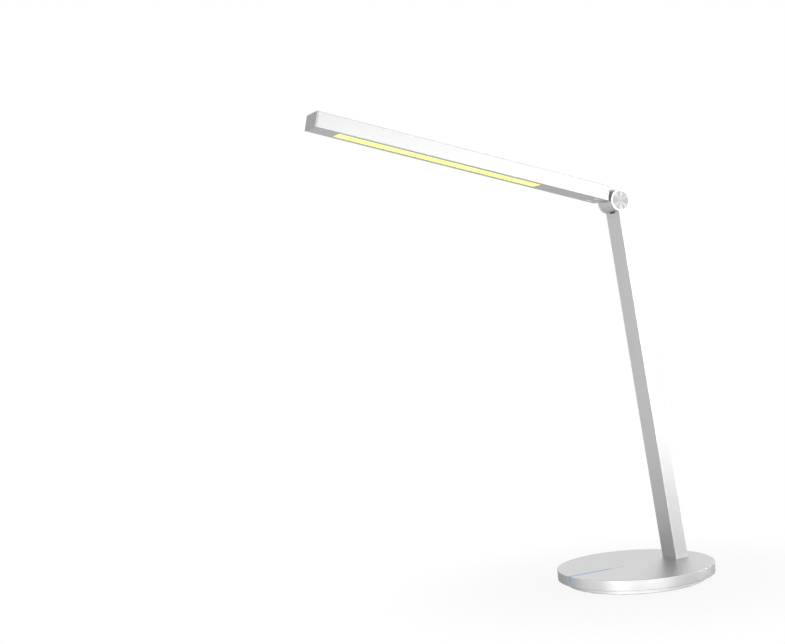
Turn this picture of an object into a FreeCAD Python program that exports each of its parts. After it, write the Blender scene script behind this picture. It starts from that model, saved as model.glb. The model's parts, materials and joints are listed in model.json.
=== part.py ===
import FreeCAD, Part
import math
import os
import re
import Sketcher

# A slim LED desk lamp: a round weighted base with a touch slide, a leaning rectangular mast,
# a friction hinge with spun discs on its ears, and a straight bar head that is lit from below.
# Millimetres, +Z up, the origin on the desk under the middle of the base. The head points to -Y.
# The lamp is the same on both sides of the plane X = 0, apart from what the base and hinge hide.

SIZES = [
    # Round base
    ("base_radius", 85.0, "outside of the round base"),
    ("base_top", 18.0, "top of the base above the desk"),
    ("rim_underside", 7.0, "lower edge of the rim above the desk"),
    ("plate_thickness", 3.0, "top plate of the base shell"),
    ("rim_thickness", 2.5, "rim wall of the base shell"),
    ("base_edge_bevel", 0.5, "bevel of the edges of the rim and of the lower ring"),
    ("foot_ring_inset", 9.5, "how far the lower ring stands in from the rim"),
    ("foot_height", 1.5, "underside of the tray above the desk, which the pads stand proud"),
    ("tray_floor", 2.0, "floor of the tray"),
    ("tray_wall", 2.5, "ring wall of the tray"),
    ("flange_thickness", 1.5, "flange of the tray that hides inside the rim"),
    ("flange_fit", 0.25, "gap between the flange and the rim"),
    ("pad_radius", 5.0, "rubber pad"),
    ("pad_inset", 9.5, "lower ring to the circle that the pads stand on"),
    ("pad_angle", 14.0, "turn of the first pad from +X"),
    ("pad_recess", 0.6, "depth of a pad's seat in the tray"),
    ("pad_count", 4, "rubber pads"),
    ("post_inset", 15.5, "lower ring to the circle of the screw posts"),
    ("post_angle", 59.0, "turn of the first post from +X"),
    ("post_radius", 4.0, "screw post under the top plate"),
    ("post_count", 4, "screw posts"),
    ("tray_boss_radius", 5.2, "boss in the tray under each post"),
    ("tray_boss_height", 4.0, "thickness of the tray at a boss"),
    ("tray_screw_radius", 1.5, "shank of a tray screw"),
    ("tray_screw_head", 2.8, "head radius of a tray screw"),
    ("tray_screw_head_height", 1.8, "head height of a tray screw"),
    ("tray_screw_length", 9.0, "shank length of a tray screw"),
    ("screw_clearance", 0.25, "gap round a screw in a plain hole"),
    ("weight_clearance", 3.0, "gap between the weight and the wall of the tray"),
    ("weight_thickness", 7.0, "steel weight in the tray"),
    ("weight_gap", 0.5, "gap between the weight and what passes through it"),
    # Touch slide in the base
    ("slide_width", 4.0, "lit part of the touch slide"),
    ("slide_end", 31.5, "inner end of the lit part, in front of the middle"),
    ("tail_width", 1.2, "narrow unlit tail of the touch slide"),
    ("tail_end", 16.0, "inner end of the tail, in front of the middle"),
    ("slide_drop", 5.0, "how far the light guide turns down over the rim"),
    ("guide_depth", 2.4, "thickness of the light guide"),
    ("guide_fit", 0.05, "gap round the light guide"),
    ("touch_board_width", 12.0, "touch board under the slide"),
    ("touch_board_inset", 9.0, "rim to the front end of the touch board"),
    ("board_thickness", 1.0, "thickness of every circuit board"),
    ("board_gap", 0.1, "tape between the top plate and the touch board"),
    ("strip_led_count", 8, "blue lamps under the touch slide"),
    ("strip_led_width", 1.6, "one blue lamp, across the slide"),
    ("strip_led_length", 0.8, "one blue lamp, along the slide"),
    ("strip_led_height", 0.5, "one blue lamp"),
    # Inlet and control board at the back of the base
    ("inlet_height", 11.5, "middle of the DC inlet above the desk"),
    ("inlet_nose_radius", 3.3, "round nose of the DC inlet"),
    ("inlet_bore_radius", 2.9, "bore that takes the plug"),
    ("inlet_pin_radius", 1.0, "centre pin of the inlet"),
    ("inlet_bore_depth", 9.5, "depth of the bore"),
    ("inlet_width", 9.0, "block of the inlet"),
    ("inlet_block_height", 6.9, "block of the inlet"),
    ("inlet_block_length", 11.6, "block of the inlet, front to back"),
    ("inlet_block_inset", 3.0, "rim to the outer end of the inlet's block"),
    ("inlet_face_inset", 0.3, "rim to the outer end of the inlet's nose"),
    ("inlet_fit", 0.1, "gap between the nose and the rim"),
    ("control_width", 26.0, "control board"),
    ("control_length", 27.5, "control board, front to back"),
    ("control_inset", 5.5, "rim to the rear edge of the control board"),
    ("stand_spread", 16.0, "distance between the two stands under the control board"),
    ("stand_radius", 2.5, "stand under the control board"),
    # Mast
    ("mast_width", 25.0, "mast, side to side"),
    ("mast_depth", 16.0, "mast, front to back"),
    ("mast_wall", 1.5, "wall of the mast tube"),
    ("mast_edge_round", 0.5, "rounding of the mast's long edges"),
    ("mast_lean_angle", 5.2, "forward lean of the mast, in degrees"),
    ("mast_length", 399.0, "from the base up the front face to the level of the hinge"),
    ("mast_foot_inset", 39.0, "rim at the back to the front face of the mast's foot"),
    ("foot_block_height", 28.0, "block inside the foot of the mast"),
    ("block_fit", 0.1, "gap between a block and the tube round it"),
    ("mast_screw_radius", 2.0, "shank of a mast screw"),
    ("mast_screw_head", 3.6, "head radius of a mast screw"),
    ("mast_screw_head_height", 2.4, "head height of a mast screw"),
    ("mast_screw_length", 17.0, "shank length of a mast screw"),
    ("mast_screw_spread", 14.0, "distance between the two mast screws"),
    ("mast_screw_count", 2, "mast screws"),
    ("lead_hole_radius", 2.2, "hole for the lead through the foot of the mast"),
    # Hinge
    ("knuckle_radius", 12.0, "round ears and barrel of the hinge"),
    ("ear_gap", 10.0, "space between the two ears"),
    ("slot_gap", 0.8, "gap under the barrel, which shows as a dark slot"),
    ("fork_shoulder", 3.2, "solid part of the fork under the slot"),
    ("fork_plug", 28.0, "plug of the fork inside the mast"),
    ("chamber_depth", 4.9, "depth of the hollow in an ear, behind its disc"),
    ("chamber_radius", 9.4, "hollow of an ear behind its disc"),
    ("axle_radius", 4.0, "axle"),
    ("axle_running_gap", 0.05, "running gap of the axle in the ears"),
    ("axle_flange_radius", 6.5, "flange of the axle"),
    ("axle_flange", 1.2, "thickness of the axle's flange"),
    ("axle_thread_radius", 3.0, "threaded end of the axle"),
    ("axle_bore", 2.2, "bore of the hollow axle"),
    ("axle_window", 1.3, "hole in the side of the axle for the lead"),
    ("washer_thickness", 0.4, "friction washer"),
    ("washer_radius", 6.9, "friction washer"),
    ("washer_gap", 0.3, "gap between a washer and the axle"),
    ("disc_spring_thickness", 0.5, "disc spring"),
    ("disc_spring_rise", 0.25, "cone height of a disc spring"),
    ("disc_spring_radius", 7.2, "disc spring"),
    ("disc_spring_count", 2, "disc springs under the nut"),
    ("stack_gap", 0.02, "gap between the stacked springs and under the nut"),
    ("nut_across_flats", 9.0, "lock nut"),
    ("nut_thickness", 2.2, "lock nut"),
    ("limit_pin_radius", 0.9, "pin that stops the hinge"),
    ("limit_pin_circle", 9.2, "distance of the stop pin from the axis"),
    ("limit_pin_seat", 2.0, "depth of the stop pin in its ear"),
    ("limit_groove_radius", 1.3, "half width of the groove round the stop pin"),
    ("limit_groove_depth", 1.2, "depth of the groove"),
    ("limit_margin_angle", 6.2, "angle that the groove runs past each limit, pin and all"),
    ("tilt_up_angle", 70.0, "travel up from rest, in degrees"),
    ("tilt_down_angle", 78.0, "travel down from rest, in degrees"),
    ("disc_proud", 0.5, "how far a disc stands out of its ear"),
    ("disc_face_radius", 10.2, "spun face inside the plain ring of a disc"),
    ("disc_face_recess", 0.2, "step down from the ring to the spun face"),
    ("disc_bevel", 0.25, "bevel round a disc"),
    ("disc_spigot", 0.8, "spigot of a disc inside its ear"),
    ("disc_fit", 0.05, "gap between the spigot and the ear"),
    # Head
    ("head_rise_angle", 14.5, "rise of the head above level at rest, in degrees"),
    ("head_width", 28.0, "head, side to side"),
    ("head_height", 16.0, "head, top to bottom"),
    ("head_reach", 362.0, "hinge axis to the free end of the head"),
    ("head_rear", 17.5, "hinge axis to the head's rear face, along the top"),
    ("rear_rake", 1.4, "how much nearer the hinge the rear face ends at the bottom"),
    ("head_wall", 1.3, "wall of the head's housing"),
    ("head_edge_round", 0.5, "rounding of the head's long edges"),
    ("rear_plate", 3.0, "plate that closes the head at the hinge, along the top"),
    ("neck_width", 9.2, "neck and barrel between the ears"),
    ("neck_height", 14.0, "neck, down from the top of the head"),
    ("tongue_length", 30.0, "tongue of the neck inside the housing"),
    ("lead_channel", 1.3, "hole for the lead along the neck"),
    ("neck_screw_reach", 27.0, "hinge axis to the two screws under the head"),
    ("neck_screw_spread", 14.0, "distance between the two screws under the head"),
    ("neck_screw_radius", 1.5, "shank of a screw under the head"),
    ("neck_screw_head", 2.75, "head radius of a screw under the head"),
    ("neck_screw_length", 8.0, "whole length of a screw under the head"),
    ("neck_screw_key", 1.0, "half width of the key hole in a screw"),
    ("neck_screw_count", 2, "screws under the head"),
    ("window_near_margin", 80.0, "rear face of the head to the lit window"),
    ("window_far_margin", 28.0, "free end of the head to the lit window"),
    ("window_width", 19.0, "lit window"),
    ("end_plate", 2.0, "plate of the end cap"),
    ("end_plug", 8.0, "plug of the end cap inside the housing"),
    ("end_plug_wall", 1.6, "wall of that plug"),
    ("diffuser_fit", 0.12, "gap between the diffuser and its window"),
    ("diffuser_recess", 0.2, "diffuser's face above the underside of the head"),
    ("diffuser_lip", 2.2, "how far the diffuser's flange lies over the window's edge"),
    ("diffuser_flange", 1.0, "thickness of the diffuser's flange"),
    ("led_board_width", 12.0, "lamp board under the top of the housing"),
    ("led_board_tail", 11.0, "end of the lamp board that takes the lead, short of the window"),
    ("led_count", 42, "white lamps on the lamp board"),
    ("led_width", 3.0, "one white lamp, across the head"),
    ("led_length", 2.8, "one white lamp, along the head"),
    ("led_height", 0.7, "one white lamp"),
    ("reflector_sheet", 0.4, "sheet of the reflector"),
    ("reflector_top", 11.0, "outside width of the reflector at the lamps"),
    ("reflector_slot", 5.0, "slot in the reflector round the lamps"),
    # Leads
    ("lead_radius", 0.7, "two-core lead inside the lamp"),
    ("lead_bend", 1.6, "bend of the lead where it enters the axle"),
    ("lead_sweep", 30.0, "bend of the lead where it enters the mast"),
    ("lead_ease", 15.0, "bends of the lead where it steps aside to the ear"),
    ("lead_turn", 6.0, "bends of the lead in the head and under the touch board"),
    ("lead_kink", 2.0, "bends of the lead where it leaves the control board"),
    ("lead_step_start", 35.0, "where the lead starts its side step, below the fork's plug"),
    ("lead_step_end", 15.0, "where the lead ends its side step, below the fork's plug"),
    ("lead_end_run", 9.0, "length of a lead that lies on a board's end"),
    ("lead_slope", 12.0, "length over which the head's lead rises to its board"),
    ("lead_inset", 2.8, "side of the mast to the lead where it goes up in the ear"),
    ("ear_channel", 0.95, "hole for the lead up into the ear"),
]

doc = FreeCAD.newDocument("DeskLamp")
sheet = doc.addObject("Spreadsheet::Sheet", "Sizes")
for row, (alias, number, meaning) in enumerate(SIZES, start=1):
    sheet.set(f"A{row}", meaning)
    sheet.set(f"B{row}", str(number))
    sheet.setAlias(f"B{row}", alias)
doc.recompute()

NAMES = {alias for alias, number, meaning in SIZES}


def size(alias):
    """The number that the sheet holds under this name."""
    return float(sheet.get(alias))


def cells(formula):
    """A formula of size names, written as an expression on the sheet's cells."""
    return re.sub(r"[a-z_]+", lambda word: f"Sizes.{word[0]}" if word[0] in NAMES else word[0], formula)


def bind(item, path, formula):
    """Ties one property to a formula of size names."""
    item.setExpression(path, cells(formula))


# Places worked out from the sizes. In a slanted frame Y runs back and Z runs up along the piece.
MAST_FRONT = "(knuckle_radius - mast_depth)"
MAST_MIDDLE = "(knuckle_radius - mast_depth / 2)"
FORK_FLOOR = "(knuckle_radius + slot_gap)"
FORK_SEAM = f"({FORK_FLOOR} + fork_shoulder)"
CHAMBER_FLOOR = "(mast_width / 2 - chamber_depth)"
HEAD_UNDERSIDE = "(knuckle_radius - head_height)"
HEAD_INNER_TOP = "(knuckle_radius - head_wall)"
HEAD_INNER_BOTTOM = f"({HEAD_UNDERSIDE} + head_wall)"
REAR_PLATE_END = "(head_rear + rear_plate)"
HOUSING_END = "(head_reach - end_plate)"
PLATE_UNDERSIDE = "(base_top - plate_thickness)"
TRAY_TOP = "(foot_height + tray_floor)"
BOSS_TOP = "(foot_height + tray_boss_height)"
WEIGHT_TOP = f"({TRAY_TOP} + weight_thickness)"
CONTROL_TOP = "(rim_underside + board_thickness)"
TOUCH_BOARD_TOP = f"({PLATE_UNDERSIDE} - board_gap)"
GUIDE_UNDERSIDE = "(base_top - guide_depth)"
MAST_FOOT = "(base_radius - mast_foot_inset)"
MAST_CENTRE = f"({MAST_FOOT} + mast_depth / (2 * cos(mast_lean_angle)))"
FOOT_RING = "(base_radius - foot_ring_inset)"
PAD_CIRCLE = f"({FOOT_RING} - pad_inset)"
POST_CIRCLE = f"({FOOT_RING} - post_inset)"
WEIGHT_RADIUS = f"({FOOT_RING} - tray_wall - weight_clearance)"
TOUCH_BOARD_FRONT = "(base_radius - touch_board_inset)"
INLET_FACE = "(base_radius - inlet_face_inset)"
INLET_FRONT = "(base_radius - inlet_block_inset)"
CONTROL_BACK = "(base_radius - control_inset)"
CONTROL_FRONT = f"({CONTROL_BACK} - control_length)"
WINDOW_START = "(head_rear + window_near_margin)"
WINDOW_END = "(head_reach - window_far_margin)"
DIFFUSER_FACE = f"({HEAD_UNDERSIDE} + diffuser_recess)"
DIFFUSER_TOP = f"({HEAD_INNER_BOTTOM} + diffuser_flange)"
LED_BOARD_UNDERSIDE = f"({HEAD_INNER_TOP} - board_thickness)"

lean = math.radians(size("mast_lean_angle"))
rise = math.radians(size("head_rise_angle"))
hinge_setback = size("mast_depth") - size("knuckle_radius")
mast_foot = size("base_radius") - size("mast_foot_inset")
hinge_y = mast_foot - size("mast_length") * math.sin(lean) + hinge_setback * math.cos(lean)
hinge_z = size("base_top") + size("mast_length") * math.cos(lean) + hinge_setback * math.sin(lean)
HINGE = FreeCAD.Vector(0, hinge_y, hinge_z)
X_AXIS = FreeCAD.Vector(1, 0, 0)
Z_AXIS = FreeCAD.Vector(0, 0, 1)
BASE_FRAME = FreeCAD.Placement()
MAST_FRAME = FreeCAD.Placement(HINGE, FreeCAD.Rotation(X_AXIS, size("mast_lean_angle")))
HEAD_FRAME = FreeCAD.Placement(HINGE, FreeCAD.Rotation(X_AXIS, -size("head_rise_angle")))

NODES = []


def keep(item, label, placement=None):
    """Names a finished piece, which gets its own file."""
    item.Label = label
    if placement is not None:
        item.Placement = placement
    NODES.append(item)
    return item


def add_body(label, placement, loose=False):
    """A new body; a loose one may hold several separate solids."""
    body = doc.addObject("PartDesign::Body", label)
    body.AllowCompound = loose
    return keep(body, label, placement)


def add_sketch(body, name, plane, offset="0"):
    """A sketch on one of the body's own planes, moved along that plane's normal."""
    sketch = body.newObject("Sketcher::SketchObject", name)
    support = next(feature for feature in body.Origin.OriginFeatures if feature.Role == plane)
    sketch.AttachmentSupport = [(support, "")]
    sketch.MapMode = "FlatFace"
    if offset != "0":
        bind(sketch, "AttachmentOffset.Base.z", offset)
    return sketch


def hold(sketch, curve, point, across, up):
    """Holds a point of a curve at two formulas, measured from the sketch's origin."""
    for kind, axis, formula in (("DistanceX", -2, across), ("DistanceY", -1, up)):
        if formula == "0":
            sketch.addConstraint(Sketcher.Constraint("PointOnObject", curve, point, axis))
        else:
            here = sketch.getPoint(curve, point)
            guess = here.x if kind == "DistanceX" else here.y
            index = sketch.addConstraint(Sketcher.Constraint(kind, -1, 1, curve, point, guess))
            bind(sketch, f"Constraints[{index}]", formula)


def polygon(sketch, corners):
    """A closed outline through corners that are given as pairs of formulas."""
    count = len(corners)
    spots = [FreeCAD.Vector(10, 0, 0) for corner in corners]
    for index in range(count):
        turn = 2 * math.pi * index / count
        spots[index] = FreeCAD.Vector(10 * math.cos(turn), 10 * math.sin(turn), 0)
    first = sketch.GeometryCount
    for index in range(count):
        sketch.addGeometry(Part.LineSegment(spots[index], spots[(index + 1) % count]), False)
    for index, (across, up) in enumerate(corners):
        line = first + index
        following = first + (index + 1) % count
        sketch.addConstraint(Sketcher.Constraint("Coincident", line, 2, following, 1))
        hold(sketch, line, 1, across, up)


def rectangle(sketch, left, right, bottom, top):
    """A rectangle between four formulas."""
    polygon(sketch, [(left, bottom), (right, bottom), (right, top), (left, top)])


def band(sketch, width, bottom, top):
    """A rectangle across the middle line, as wide as the formula."""
    rectangle(sketch, f"-({width}) / 2", f"({width}) / 2", bottom, top)


def circle(sketch, across, up, radius):
    """A circle at two formulas, with a radius formula."""
    curve = sketch.addGeometry(Part.Circle(FreeCAD.Vector(1, 1, 0), Z_AXIS, 1), False)
    hold(sketch, curve, 3, across, up)
    index = sketch.addConstraint(Sketcher.Constraint("Radius", curve, 1.0))
    bind(sketch, f"Constraints[{index}]", radius)


def axis_line(sketch, across):
    """An upright construction line that a profile can turn about."""
    bottom = FreeCAD.Vector(5, -5, 0)
    line = sketch.addGeometry(Part.LineSegment(bottom, FreeCAD.Vector(5, 5, 0)), True)
    sketch.addConstraint(Sketcher.Constraint("Vertical", line))
    hold(sketch, line, 1, across, "-5")
    sketch.addConstraint(Sketcher.Constraint("DistanceY", line, 1, line, 2, 10.0))
    return "Axis0"


def extrude(kind, body, sketch, name, length, middle=False):
    """A pad or pocket along the sketch's normal, or half to each side of the sketch."""
    feature = body.newObject(f"PartDesign::{kind}", name)
    feature.Profile = sketch
    feature.SideType = "Symmetric" if middle else "One side"
    feature.Reversed = kind == "Pocket" and not middle
    bind(feature, "Length", length)
    return finish(body, feature, kind == "Pocket")


def finish(body, feature, cuts):
    """Makes a feature the body's tip, and makes sure that it adds or takes material."""
    before = body.Shape.Volume if body.Tip and not body.Shape.isNull() else 0
    body.Tip = feature
    doc.recompute()
    if feature.Shape.isNull():
        raise ValueError(f"{body.Label} {feature.Name} has no shape")
    after = feature.Shape.Volume
    if (after >= before) if cuts else (after <= before):
        raise ValueError(f"{body.Label} {feature.Name} changed nothing: {before} to {after}")
    return feature


def pad(body, sketch, name, length, middle=False):
    """Adds the sketch's outline over a length."""
    return extrude("Pad", body, sketch, name, length, middle)


def pocket(body, sketch, name, length, middle=False):
    """Cuts the sketch's outline over a length."""
    return extrude("Pocket", body, sketch, name, length, middle)


def turn(body, sketch, name, axis, angle="360", kind="Revolution"):
    """Turns a profile about an axis of its sketch."""
    feature = body.newObject(f"PartDesign::{kind}", name)
    feature.Profile = sketch
    feature.ReferenceAxis = (sketch, [axis])
    feature.Midplane = angle != "360"
    bind(feature, "Angle", angle)
    return finish(body, feature, kind == "Groove")


def round_pattern(body, sketch, feature, name, count):
    """Repeats a feature evenly about the sketch's normal."""
    pattern = body.newObject("PartDesign::PolarPattern", name)
    pattern.Originals = [feature]
    pattern.Axis = (sketch, ["N_Axis"])
    pattern.Angle = 360
    bind(pattern, "Occurrences", count)
    return finish(body, pattern, feature.TypeId.endswith("Pocket"))


def row_pattern(body, sketch, feature, name, axis, length, count):
    """Repeats a feature evenly along an axis of the sketch."""
    pattern = body.newObject("PartDesign::LinearPattern", name)
    pattern.Originals = [feature]
    pattern.Direction = (sketch, [axis])
    bind(pattern, "Length", length)
    bind(pattern, "Occurrences", count)
    return finish(body, pattern, feature.TypeId.endswith("Pocket"))


def mirror(body, feature, name, plane="YZ_Plane"):
    """Repeats a feature on the other side of one of the body's planes."""
    copy = body.newObject("PartDesign::Mirrored", name)
    copy.Originals = [feature]
    support = next(item for item in body.Origin.OriginFeatures if item.Role == plane)
    copy.MirrorPlane = (support, [""])
    return finish(body, copy, feature.TypeId.endswith(("Pocket", "Groove")))


def edges(feature, test):
    """Names of the feature's edges whose curve passes the test."""
    return [f"Edge{index}" for index, edge in enumerate(feature.Shape.Edges, start=1) if test(edge)]


def dress(kind, body, feature, name, path, amount, test):
    """A fillet or chamfer on the edges that pass the test."""
    dressing = body.newObject(f"PartDesign::{kind}", name)
    dressing.Base = (feature, edges(feature, test))
    bind(dressing, path, amount)
    body.Tip = dressing
    doc.recompute()
    return dressing


def runs_along(edge, axis, length):
    """True where a straight edge of at least this length lies along the axis."""
    if edge.Curve.TypeId != "Part::GeomLine" or edge.Length < length:
        return False
    direction = edge.Vertexes[-1].Point - edge.Vertexes[0].Point
    return abs(abs(direction.normalize().dot(axis)) - 1) < 1e-6


def is_circle(edge, radius, height=None):
    """True where an edge is round, with this radius and at this height."""
    if edge.Curve.TypeId != "Part::GeomCircle" or abs(edge.Curve.Radius - radius) > 1e-4:
        return False
    return height is None or abs(edge.Curve.Center.z - height) < 1e-4


# Base shell: a turned cap with a flat top, a short rim and four screw posts under it
def make_base_shell():
    body = add_body("base_shell", BASE_FRAME)
    section = add_sketch(body, "shell_section", "XZ_Plane")
    polygon(section, [
        ("0", PLATE_UNDERSIDE), ("base_radius - rim_thickness", PLATE_UNDERSIDE),
        ("base_radius - rim_thickness", "rim_underside"), ("base_radius", "rim_underside"),
        ("base_radius", "base_top"), ("0", "base_top")])
    shell = turn(body, section, "shell_turned", "V_Axis")
    rim = size("base_radius")
    dress("Chamfer", body, shell, "rim_bevels", "Size", "base_edge_bevel",
          lambda edge: is_circle(edge, rim))
    posts = add_sketch(body, "post_outline", "XY_Plane", BOSS_TOP)
    circle(posts, f"{POST_CIRCLE} * cos(post_angle)", f"{POST_CIRCLE} * sin(post_angle)", "post_radius")
    post = pad(body, posts, "post", f"{PLATE_UNDERSIDE} - {BOSS_TOP}")
    round_pattern(body, posts, post, "posts", "post_count")
    pilots = add_sketch(body, "pilot_outline", "XY_Plane", BOSS_TOP)
    circle(pilots, f"{POST_CIRCLE} * cos(post_angle)", f"{POST_CIRCLE} * sin(post_angle)", "tray_screw_radius")
    pilot = pocket(body, pilots, "pilot", "tray_screw_length")
    round_pattern(body, pilots, pilot, "pilots", "post_count")
    slide = add_sketch(body, "slide_outline", "XY_Plane", f"{PLATE_UNDERSIDE} - 1")
    band(slide, "slide_width", "-base_radius - 1", "-slide_end")
    pocket(body, slide, "slide_slot", "plate_thickness + 2")
    tail = add_sketch(body, "tail_outline", "XY_Plane", f"{PLATE_UNDERSIDE} - 1")
    band(tail, "tail_width", "-slide_end - 1", "-tail_end")
    pocket(body, tail, "tail_slot", "plate_thickness + 2")
    drop = add_sketch(body, "drop_outline", "XY_Plane", "base_top - slide_drop")
    band(drop, "slide_width", "-base_radius - 1", "-base_radius + guide_depth")
    pocket(body, drop, "slide_drop_cut", "slide_drop + 1")
    inlet = add_sketch(body, "inlet_outline", "XZ_Plane", "-base_radius - 1")
    circle(inlet, "0", "inlet_height", "inlet_nose_radius + inlet_fit")
    pocket(body, inlet, "inlet_hole", "rim_thickness + 5")
    holes = add_sketch(body, "mast_hole_outline", "XY_Plane", f"{PLATE_UNDERSIDE} - 1")
    circle(holes, "-mast_screw_spread / 2", MAST_CENTRE, "mast_screw_radius + screw_clearance")
    circle(holes, "mast_screw_spread / 2", MAST_CENTRE, "mast_screw_radius + screw_clearance")
    circle(holes, "0", MAST_CENTRE, "lead_hole_radius")
    pocket(body, holes, "mast_holes", "plate_thickness + 2")


# Light guide: one clear moulding that fills the slide and its tail and turns down over the rim
def make_light_guide():
    def block(name, width, front, back, bottom):
        box = doc.addObject("Part::Box", name)
        bind(box, "Length", width)
        bind(box, "Width", f"{front} - {back}")
        bind(box, "Height", f"base_top - {bottom}")
        bind(box, "Placement.Base.x", f"-({width}) / 2")
        bind(box, "Placement.Base.y", f"-({front})")
        bind(box, "Placement.Base.z", bottom)
        return box

    wide = "(slide_width - 2 * guide_fit)"
    narrow = "(tail_width - 2 * guide_fit)"
    lit = block("lit_bar", wide, "base_radius + 1", "(slide_end + guide_fit)", GUIDE_UNDERSIDE)
    tail = block("tail_bar", narrow, "slide_end + 1", "(tail_end + guide_fit)", GUIDE_UNDERSIDE)
    turned_down = block("rim_bar", wide, "base_radius + 1", "(base_radius - guide_depth + guide_fit)",
                        "(base_top - slide_drop + guide_fit)")
    bars = doc.addObject("Part::MultiFuse", "guide_bars")
    bars.Shapes = [lit, tail, turned_down]
    bars.Refine = True
    rim = doc.addObject("Part::Cylinder", "guide_limit")
    bind(rim, "Radius", "base_radius")
    bind(rim, "Height", "base_top")
    guide = doc.addObject("Part::Common", "light_guide")
    guide.Base = bars
    guide.Tool = rim
    keep(guide, "light_guide")


# Touch board under the slide, with a row of blue lamps that shine up into the guide
def make_touch_board():
    body = add_body("touch_board", BASE_FRAME)
    outline = add_sketch(body, "board_outline", "XY_Plane", f"{TOUCH_BOARD_TOP} - board_thickness")
    band(outline, "touch_board_width", f"-{TOUCH_BOARD_FRONT}", "-tail_end + 2")
    pad(body, outline, "board", "board_thickness")
    lamps = add_body("strip_leds", BASE_FRAME, loose=True)
    first = add_sketch(lamps, "lamp_outline", "XY_Plane", TOUCH_BOARD_TOP)
    rectangle(first, "-strip_led_width / 2", "strip_led_width / 2",
              "-slide_end - 2 - strip_led_length", "-slide_end - 2")
    lamp = pad(lamps, first, "lamp", "strip_led_height")
    pattern = row_pattern(lamps, first, lamp, "lamps", "V_Axis",
                          f"{TOUCH_BOARD_FRONT} - slide_end - 6", "strip_led_count")
    pattern.Reversed = True
    doc.recompute()


# Steel weight: a disc that lies on the floor of the tray, cut clear of posts and control board
def make_base_weight():
    body = add_body("base_weight", BASE_FRAME)
    disc = add_sketch(body, "disc_outline", "XY_Plane", TRAY_TOP)
    circle(disc, "0", "0", WEIGHT_RADIUS)
    pad(body, disc, "disc", "weight_thickness")
    clearing = add_sketch(body, "clearing_outline", "XY_Plane", f"{TRAY_TOP} - 1")
    circle(clearing, f"{POST_CIRCLE} * cos(post_angle)", f"{POST_CIRCLE} * sin(post_angle)",
           "tray_boss_radius + weight_gap")
    hole = pocket(body, clearing, "clearing", "weight_thickness + 2")
    round_pattern(body, clearing, hole, "clearings", "post_count")
    notch = add_sketch(body, "notch_outline", "XY_Plane", f"{TRAY_TOP} - 1")
    band(notch, "control_width + 4 * weight_gap", f"{CONTROL_FRONT} - 2 * weight_gap", f"{WEIGHT_RADIUS} + 1")
    pocket(body, notch, "notch", "weight_thickness + 2")


# Tray: the plastic underside, whose wall is the lower ring and whose flange hides in the rim
def make_base_tray():
    body = add_body("base_tray", BASE_FRAME)
    section = add_sketch(body, "tray_section", "XZ_Plane")
    inner = f"{FOOT_RING} - tray_wall"
    flange = "base_radius - rim_thickness - flange_fit"
    flange_top = "rim_underside + flange_thickness"
    polygon(section, [
        ("0", "foot_height"), (FOOT_RING, "foot_height"),
        (FOOT_RING, "rim_underside"), (flange, "rim_underside"), (flange, flange_top),
        (inner, flange_top), (inner, TRAY_TOP), ("0", TRAY_TOP)])
    tray = turn(body, section, "tray_turned", "V_Axis")
    ring = size("base_radius") - size("foot_ring_inset")
    ring_bottom = size("foot_height")
    dress("Chamfer", body, tray, "ring_bevel", "Size", "base_edge_bevel",
          lambda edge: is_circle(edge, ring, ring_bottom))
    bosses = add_sketch(body, "boss_outline", "XY_Plane", "foot_height")
    circle(bosses, f"{POST_CIRCLE} * cos(post_angle)", f"{POST_CIRCLE} * sin(post_angle)", "tray_boss_radius")
    boss = pad(body, bosses, "boss", "tray_boss_height")
    round_pattern(body, bosses, boss, "bosses", "post_count")
    heads = add_sketch(body, "head_seat_outline", "XY_Plane", "foot_height")
    circle(heads, f"{POST_CIRCLE} * cos(post_angle)", f"{POST_CIRCLE} * sin(post_angle)",
           "tray_screw_head + screw_clearance")
    seat = pocket(body, heads, "head_seat", "tray_screw_head_height + screw_clearance")
    round_pattern(body, heads, seat, "head_seats", "post_count")
    shanks = add_sketch(body, "shank_outline", "XY_Plane", "foot_height")
    circle(shanks, f"{POST_CIRCLE} * cos(post_angle)", f"{POST_CIRCLE} * sin(post_angle)",
           "tray_screw_radius + screw_clearance")
    shank = pocket(body, shanks, "shank_hole", "tray_boss_height + 1")
    round_pattern(body, shanks, shank, "shank_holes", "post_count")
    pads = add_sketch(body, "pad_seat_outline", "XY_Plane", "foot_height")
    circle(pads, f"{PAD_CIRCLE} * cos(pad_angle)", f"{PAD_CIRCLE} * sin(pad_angle)", "pad_radius")
    pad_seat = pocket(body, pads, "pad_seat", "pad_recess")
    round_pattern(body, pads, pad_seat, "pad_seats", "pad_count")
    opening = add_sketch(body, "board_opening_outline", "XY_Plane", "rim_underside")
    band(opening, "control_width + 4 * flange_fit", f"{FOOT_RING} - 10", "base_radius")
    pocket(body, opening, "board_opening", "flange_thickness + 1")
    stands = add_sketch(body, "stand_outline", "XY_Plane", f"{TRAY_TOP} - 1")
    circle(stands, "-stand_spread / 2", f"{CONTROL_FRONT} + stand_radius", "stand_radius")
    circle(stands, "stand_spread / 2", f"{CONTROL_FRONT} + stand_radius", "stand_radius")
    pad(body, stands, "stands", f"rim_underside - {TRAY_TOP} + 1")


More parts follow.
